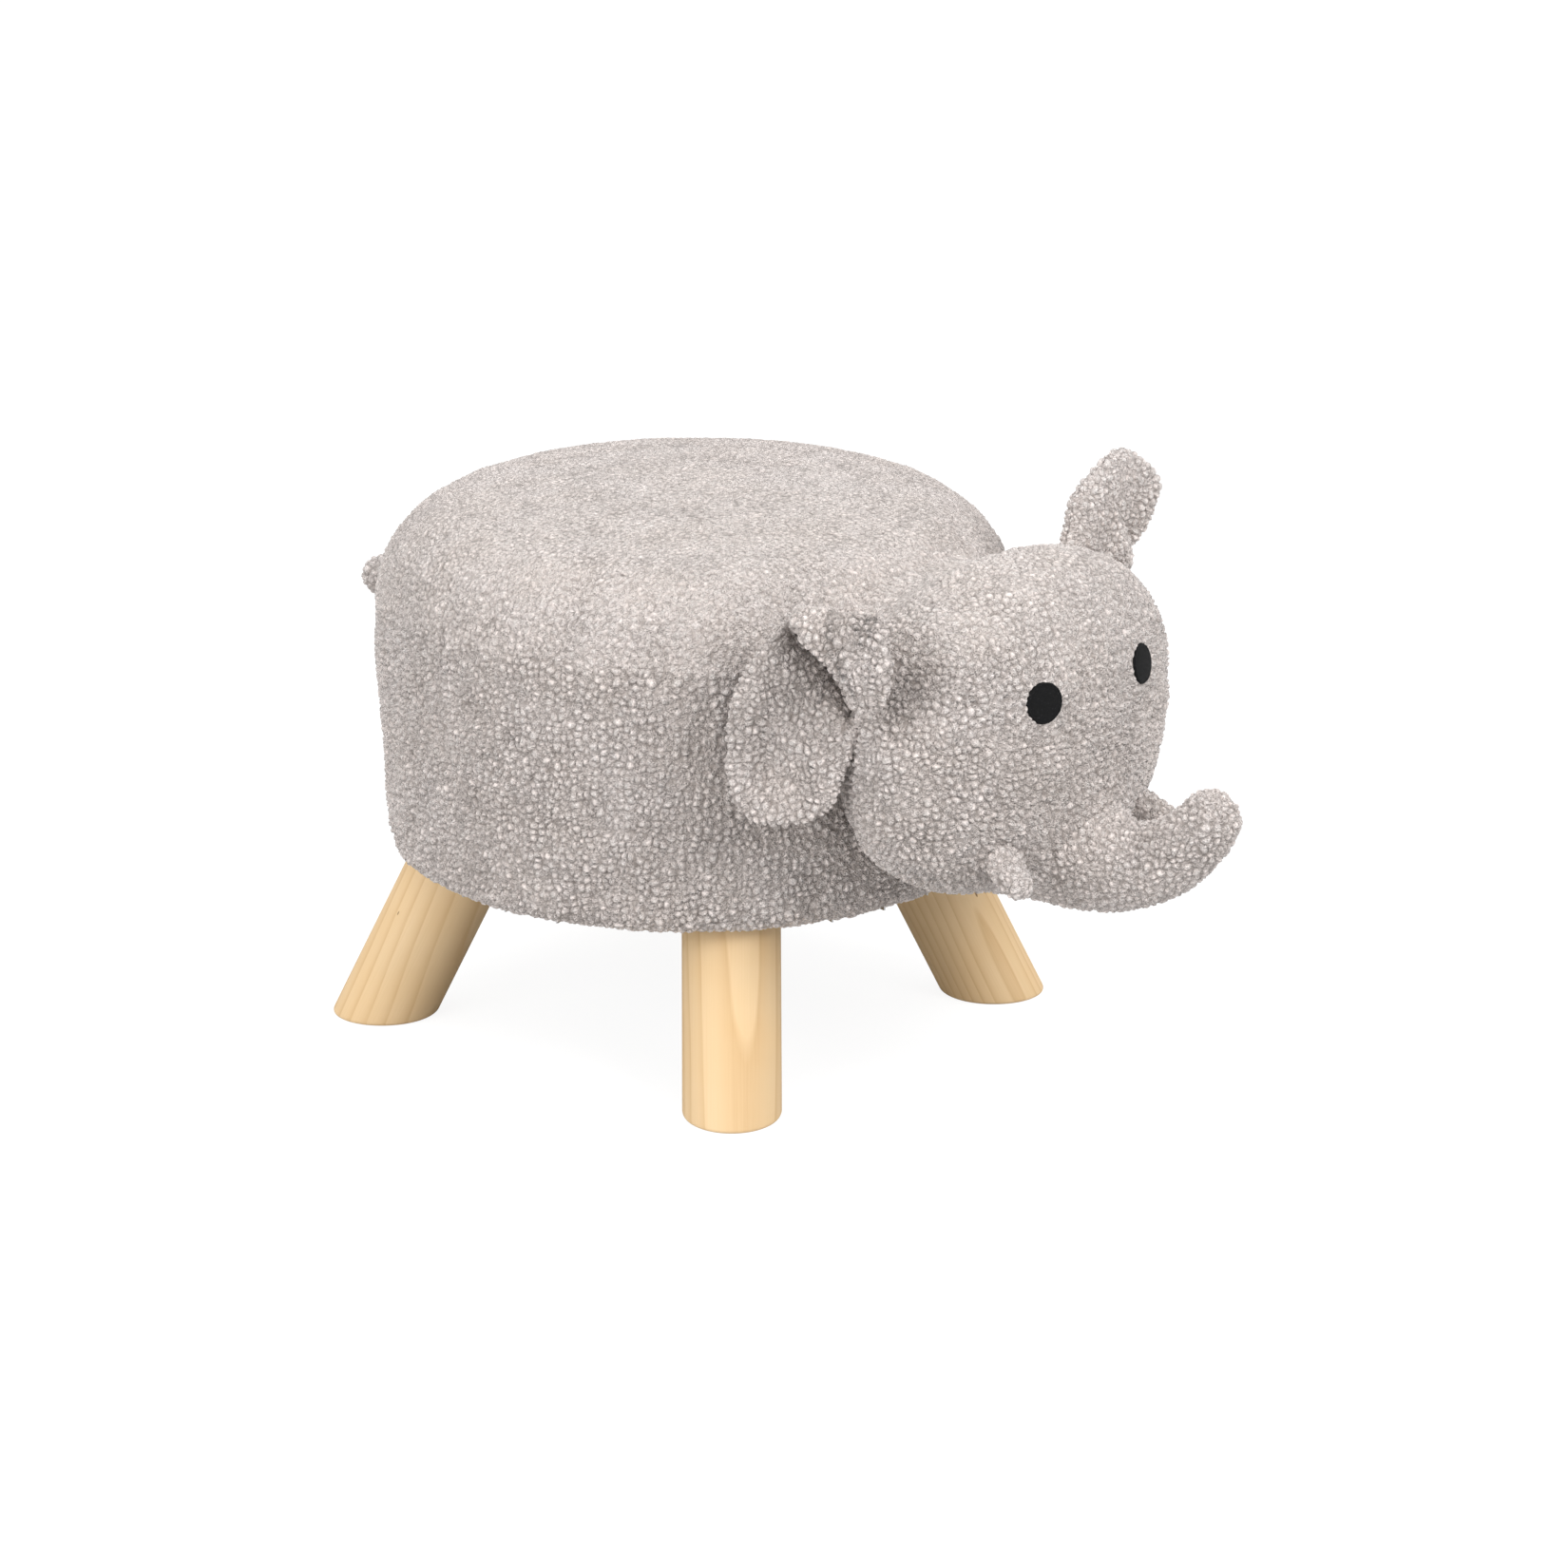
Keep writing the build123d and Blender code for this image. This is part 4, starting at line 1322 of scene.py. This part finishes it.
frameWork = (
    (softwoodMaterial(), ("post_front", "post_rear", "post_left", "post_right")),
    (plywoodMaterial(), ("bottom_board", "top_board")),
    (specked("fibreboard", (0.26, 0.17, 0.10), (0.36, 0.25, 0.15), 420, (0.75, 0.9), 0.0002),
     ("barrel_wall",)),
    (specked("zincSteel", (0.52, 0.50, 0.46), (0.66, 0.64, 0.60), 260, (0.28, 0.42), 0.00002, 1.0),
     ("post_screws", "leg_screws")),
    (specked("stapleSteel", (0.50, 0.50, 0.51), (0.62, 0.62, 0.63), 900, (0.25, 0.4), 0.00002, 1.0),
     ("cover_staples",)),
)
for frameMaterial, frameNodes in frameWork:
    for frameNode in frameNodes:
        finish(frameNode, frameMaterial)


# ---- padding and filling under the cover ----

fillingLook = {
    "gap": 0.8,             # between the cover's fabric and what is under it, and the same in the head
    "headGap": 2.6,
    "foamPile": 0.25,
    "waddingPile": 0.2,
}


def sweptRing(name, path, count, material, node, pile, closedTop):
    # a closed path of radius and height, swept round the seat's middle
    angle = np.linspace(0, 2 * np.pi, count, endpoint=False)
    radius, angle = np.meshgrid(path[:, 0], angle, indexing="ij")
    z = np.broadcast_to(path[:, 1][:, None], radius.shape)
    base = np.stack([radius * np.cos(angle), seatY + radius * np.sin(angle), z], -1)
    outside, height = fluff(base, normals(base, True), pile, 91)
    patch = newPatch()
    outer = place(patch, outside, height)
    if closedTop:
        cells(patch, outer, True)
        fan(patch, outer[0], outside[0].mean(0))
        fan(patch, lastRing(outer), outside[-1].mean(0))
    else:
        cells(patch, np.concatenate([outer, outer[:1]]), True)
    piece = buildPiece(name, patch, material)
    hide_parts(node)


def padding():
    foamLow = nodeBox("seat_foam")[0]
    waddingLow, waddingHigh = nodeBox("side_wadding")
    inset = seatLook["backing"] + fillingLook["gap"]
    radius = np.linspace(4, domeEnd, 50)
    dome = np.stack([radius, crownHeight - inset - seatLook["rise"] * (radius / seatRadius) ** 2], -1)
    top = arc((domeRadius, shoulderZ), seatLook["shoulder"] - inset, 90 - math.degrees(domeSlope), 0, 24)
    level = foamLow[2] + 0.3
    base = [[seatRadius - inset, level], [seatRadius * 0.5, level], [4, level]]
    path = np.concatenate([dome, top[1:], base])
    foam = specked("foam", (0.74, 0.68, 0.50), (0.84, 0.79, 0.62), 900, (0.85, 0.95), 0.0006)
    sweptRing("seatFoam", evenPath(path, 100), 240, foam, "seat_foam",
              fillingLook["foamPile"], True)
    within = nodeBox("top_board")[1][0] + 0.3
    low, high = waddingLow[2] + 0.4, waddingHigh[2] - 0.3
    z = np.linspace(high, low, 60)
    outer = np.stack([(seatRadius - inset - 0.4) * taper(z), z], -1)
    inner = np.stack([np.full(8, within), np.linspace(low, high, 8)], -1)
    outer[:, 0] = np.maximum(outer[:, 0], within + 1.2)
    path = np.concatenate([outer, inner])
    wadding = specked("wadding", (0.72, 0.72, 0.71), (0.86, 0.86, 0.85), 500, (0.9, 0.98), 0.0008)
    sweptRing("sideWadding", evenPath(path, 120), 240, wadding, "side_wadding",
              fillingLook["waddingPile"], False)


def headFilling(material, count=120):
    # the head's form set in, its back against the seat's cover and a hollow where the trunk turns
    share, phi = discGrid(count)
    inset = headLook["backing"] + fillingLook["headGap"]
    front, behind = (headPoints(theta, phi) for theta in (share * np.pi / 2, np.pi - share * np.pi / 2))
    halves = []
    for half in (front, behind):
        away = half - headCenter
        half = half - unit(away) * inset
        gap, out = drumDistance(half)
        half = half + out * np.clip(fillingLook["gap"] + 0.6 - gap, 0, None)[..., None]
        hollow = half - trunkRoot
        room = trunkLook["radii"][0] + 9.5
        depth = np.sqrt(np.clip(room ** 2 - hollow[..., 0] ** 2 - hollow[..., 2] ** 2, 0, None))
        inside = (depth > 0) & (hollow[..., 1] < depth)
        half[..., 1] = np.where(inside, trunkRoot[1] + depth, half[..., 1])
        halves.append(half)
    patch = newPatch()
    outer = place(patch, halves[0])
    back = place(patch, halves[1])
    cells(patch, outer)
    back[0], back[-1], back[:, 0], back[:, -1] = outer[0], outer[-1], outer[:, 0], outer[:, -1]
    cells(patch, back, flip=True)
    piece = buildPiece("headFilling", patch, material)
    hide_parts("head_filling")


fibreFill = specked("fibreFill", (0.80, 0.80, 0.79), (0.90, 0.90, 0.89), 340, (0.9, 0.98), 0.001)
padding()
headFilling(fibreFill)
trunkInset = trunkLook["wall"] + fillingLook["gap"]
trunkInside = dict(trunkLook, pile=0.3, radii=[radius - trunkInset for radius in trunkLook["radii"]])
trunkFilling = stuffedTube("trunkFilling", trunkLine(), 80, 60, trunkInside, "trunk_filling", seed=33,
                           material=fibreFill)
bendTrunk(trunkFilling)


# ---- dust cover ----

dustLook = {
    "sag": 0.45,
    "thick": 0.35,
    "staples": 24,
    "dots": 620.0,          # pressed dots per metre
    "cloth": (0.018, 0.018, 0.019),
    "clothLight": (0.045, 0.045, 0.047),
}


def dustMaterial():
    # non-woven cloth: pressed dots in rows over a web of fibres
    material, tree, shader = newMaterial("dustCloth")
    spot = ownPlace(tree)
    web = addNode(tree, "TexNoise", Vector=spot, Scale=1400.0, Detail=3.0)
    dots = addNode(tree, "TexVoronoi", {"feature": "F1"}, Vector=spot, Scale=dustLook["dots"],
                   Randomness=0.0)
    pressed = spread(tree, dots.outputs["Distance"], 0.2, 0.5)
    share = times(tree, web.outputs[0], pressed)
    color = colorMix(tree, share, dustLook["cloth"], dustLook["clothLight"])
    height = plus(tree, times(tree, web.outputs[0], 0.4), pressed)
    dress(tree, shader, color, height, 0.6, 0.0002, 0.2, 0.9)
    return material


def dustCover():
    # a disc held up by its stapled edge, with slack between the staples
    low, high = nodeBox("dust_cover")
    radius = (high[0] - low[0]) / 2
    share, angle = discGrid(100)
    flat = np.stack([radius * share * np.cos(angle), seatY + radius * share * np.sin(angle)], -1)
    slack = 0.5 + 0.5 * noise(np.concatenate([flat, flat[..., :1] * 0], -1), 26.0, 95)
    pucker = 0.5 + 0.5 * np.cos(angle * dustLook["staples"]) * smooth((share - 0.7) / 0.3)
    drop = dustLook["sag"] * slack * (0.6 + 0.4 * pucker) * (1 - share ** 8)
    upper = high[2] - 0.1 - drop
    patch = newPatch()
    top = place(patch, np.concatenate([flat, upper[..., None]], -1))
    under = place(patch, np.concatenate([flat, upper[..., None] - dustLook["thick"]], -1))
    cells(patch, top)
    cells(patch, under, flip=True)
    rim, lower = perimeter(top), perimeter(under)
    patch["faces"].append(np.stack([np.roll(rim, -1), rim, lower, np.roll(lower, -1)], -1))
    piece = buildPiece("dustCover", patch, dustMaterial())
    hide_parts("dust_cover")


dustCover()
print("inside pieces ready")


# ---- floor, light and camera ----

studioLook = {
    "zenith": 1.45,         # the surrounding light: an even part and a part that grows towards straight up
    "even": 0.33,
    "strength": 0.83,
    "floorBounce": 0.62,
    "floorShadow": 0.30,    # how much of the floor's shading the picture shows
    "shadowWhite": 1.28,    # brightness of the floor and of what is behind it, to the camera
    "backWhite": 1.02,
    "lights": {             # place, diameter and power
        "key": ((-0.25, -1.85, 1.50), 1.1, 25.0),
        "fill": ((-2.3, 0.25, 0.85), 1.6, 22.0),
    },
    "target": (0, 0, 0.15),
    "floor": 8.0,
}
cameraLook = {              # in metres; the three directions are its own right, up and back
    "lens": 109.09,
    "sensor": 36,
    "right": (0.61596, -0.78778, 0),
    "up": (0.24763, 0.19362, 0.94931),
    "back": (-0.74785, -0.58474, 0.31434),
    "place": (-1.61476, -1.26314, 0.79635),
}


def toCamera(tree, plain, seen, share, output):
    # mixes in what the camera alone sees
    path = addNode(tree, "LightPath")
    mix = addNode(tree, "MixShader", i0=times(tree, path.outputs["Is Camera Ray"], share),
                  i1=plain.outputs[0], i2=seen.outputs[0])
    feed(tree, tree.nodes[output].inputs[0], mix.outputs[0])


def floorMaterial():
    # near white in the picture with a faint shadow, a plain pale surface to all other light
    material, tree, shader = newMaterial("paleFloor")
    bounce = studioLook["floorBounce"]
    shader.inputs["Base Color"].default_value = (bounce, bounce, bounce, 1)
    shader.inputs["Roughness"].default_value = 0.9
    shader.inputs["Specular IOR Level"].default_value = 0.0
    white = addNode(tree, "Emission", Strength=studioLook["shadowWhite"])
    toCamera(tree, shader, white, 1 - studioLook["floorShadow"], "Material Output")
    return material


def surroundings():
    # white to the camera, brighter overhead to everything else
    world = bpy.data.worlds.new("studioWorld")
    world.use_nodes = True
    tree = world.node_tree
    light = tree.nodes["Background"]
    sky = addNode(tree, "TexCoord")
    parts = addNode(tree, "SeparateXYZ", i0=sky.outputs["Generated"])
    rise = calc(tree, "MAXIMUM", parts.outputs[2], 0.0)
    level = plus(tree, times(tree, rise, studioLook["zenith"]), studioLook["even"])
    feed(tree, light.inputs[1], times(tree, level, studioLook["strength"]))
    light.inputs[0].default_value = (1, 1, 1, 1)
    white = addNode(tree, "Background", Color=(1, 1, 1, 1), Strength=studioLook["backWhite"])
    toCamera(tree, light, white, 1.0, "World Output")
    return world


def areaLight(name, spot, size, power):
    light = bpy.data.lights.new(name, "AREA")
    light.shape = "DISK"
    light.size = size
    light.energy = power
    item = bpy.data.objects.new(name, light)
    item.location = spot
    direction = Vector(studioLook["target"]) - Vector(spot)
    item.rotation_euler = direction.to_track_quat("-Z", "Y").to_euler()
    bpy.context.scene.collection.objects.link(item)


def studio():
    mesh = bpy.data.meshes.new("studioFloor")
    half = studioLook["floor"]
    corners = [(-half, -half, 0), (half, -half, 0), (half, half, 0), (-half, half, 0)]
    mesh.from_pydata(corners, [], [(0, 1, 2, 3)])
    mesh.materials.append(floorMaterial())
    floor = bpy.data.objects.new("studioFloor", mesh)
    bpy.context.scene.collection.objects.link(floor)
    for name, (spot, size, power) in studioLook["lights"].items():
        areaLight(name, spot, size, power)
    bpy.context.scene.world = surroundings()
    bpy.context.scene.view_settings.view_transform = "Standard"


def camera():
    data = bpy.data.cameras.new("camera")
    data.lens = cameraLook["lens"]
    data.sensor_width = cameraLook["sensor"]
    data.clip_start = 0.05
    item = bpy.data.objects.new("camera", data)
    columns = [(*cameraLook[name], 0) for name in ("right", "up", "back")] + [(*cameraLook["place"], 1)]
    item.matrix_world = Matrix(columns).transposed()
    bpy.context.scene.collection.objects.link(item)
    bpy.context.scene.camera = item


studio()
camera()
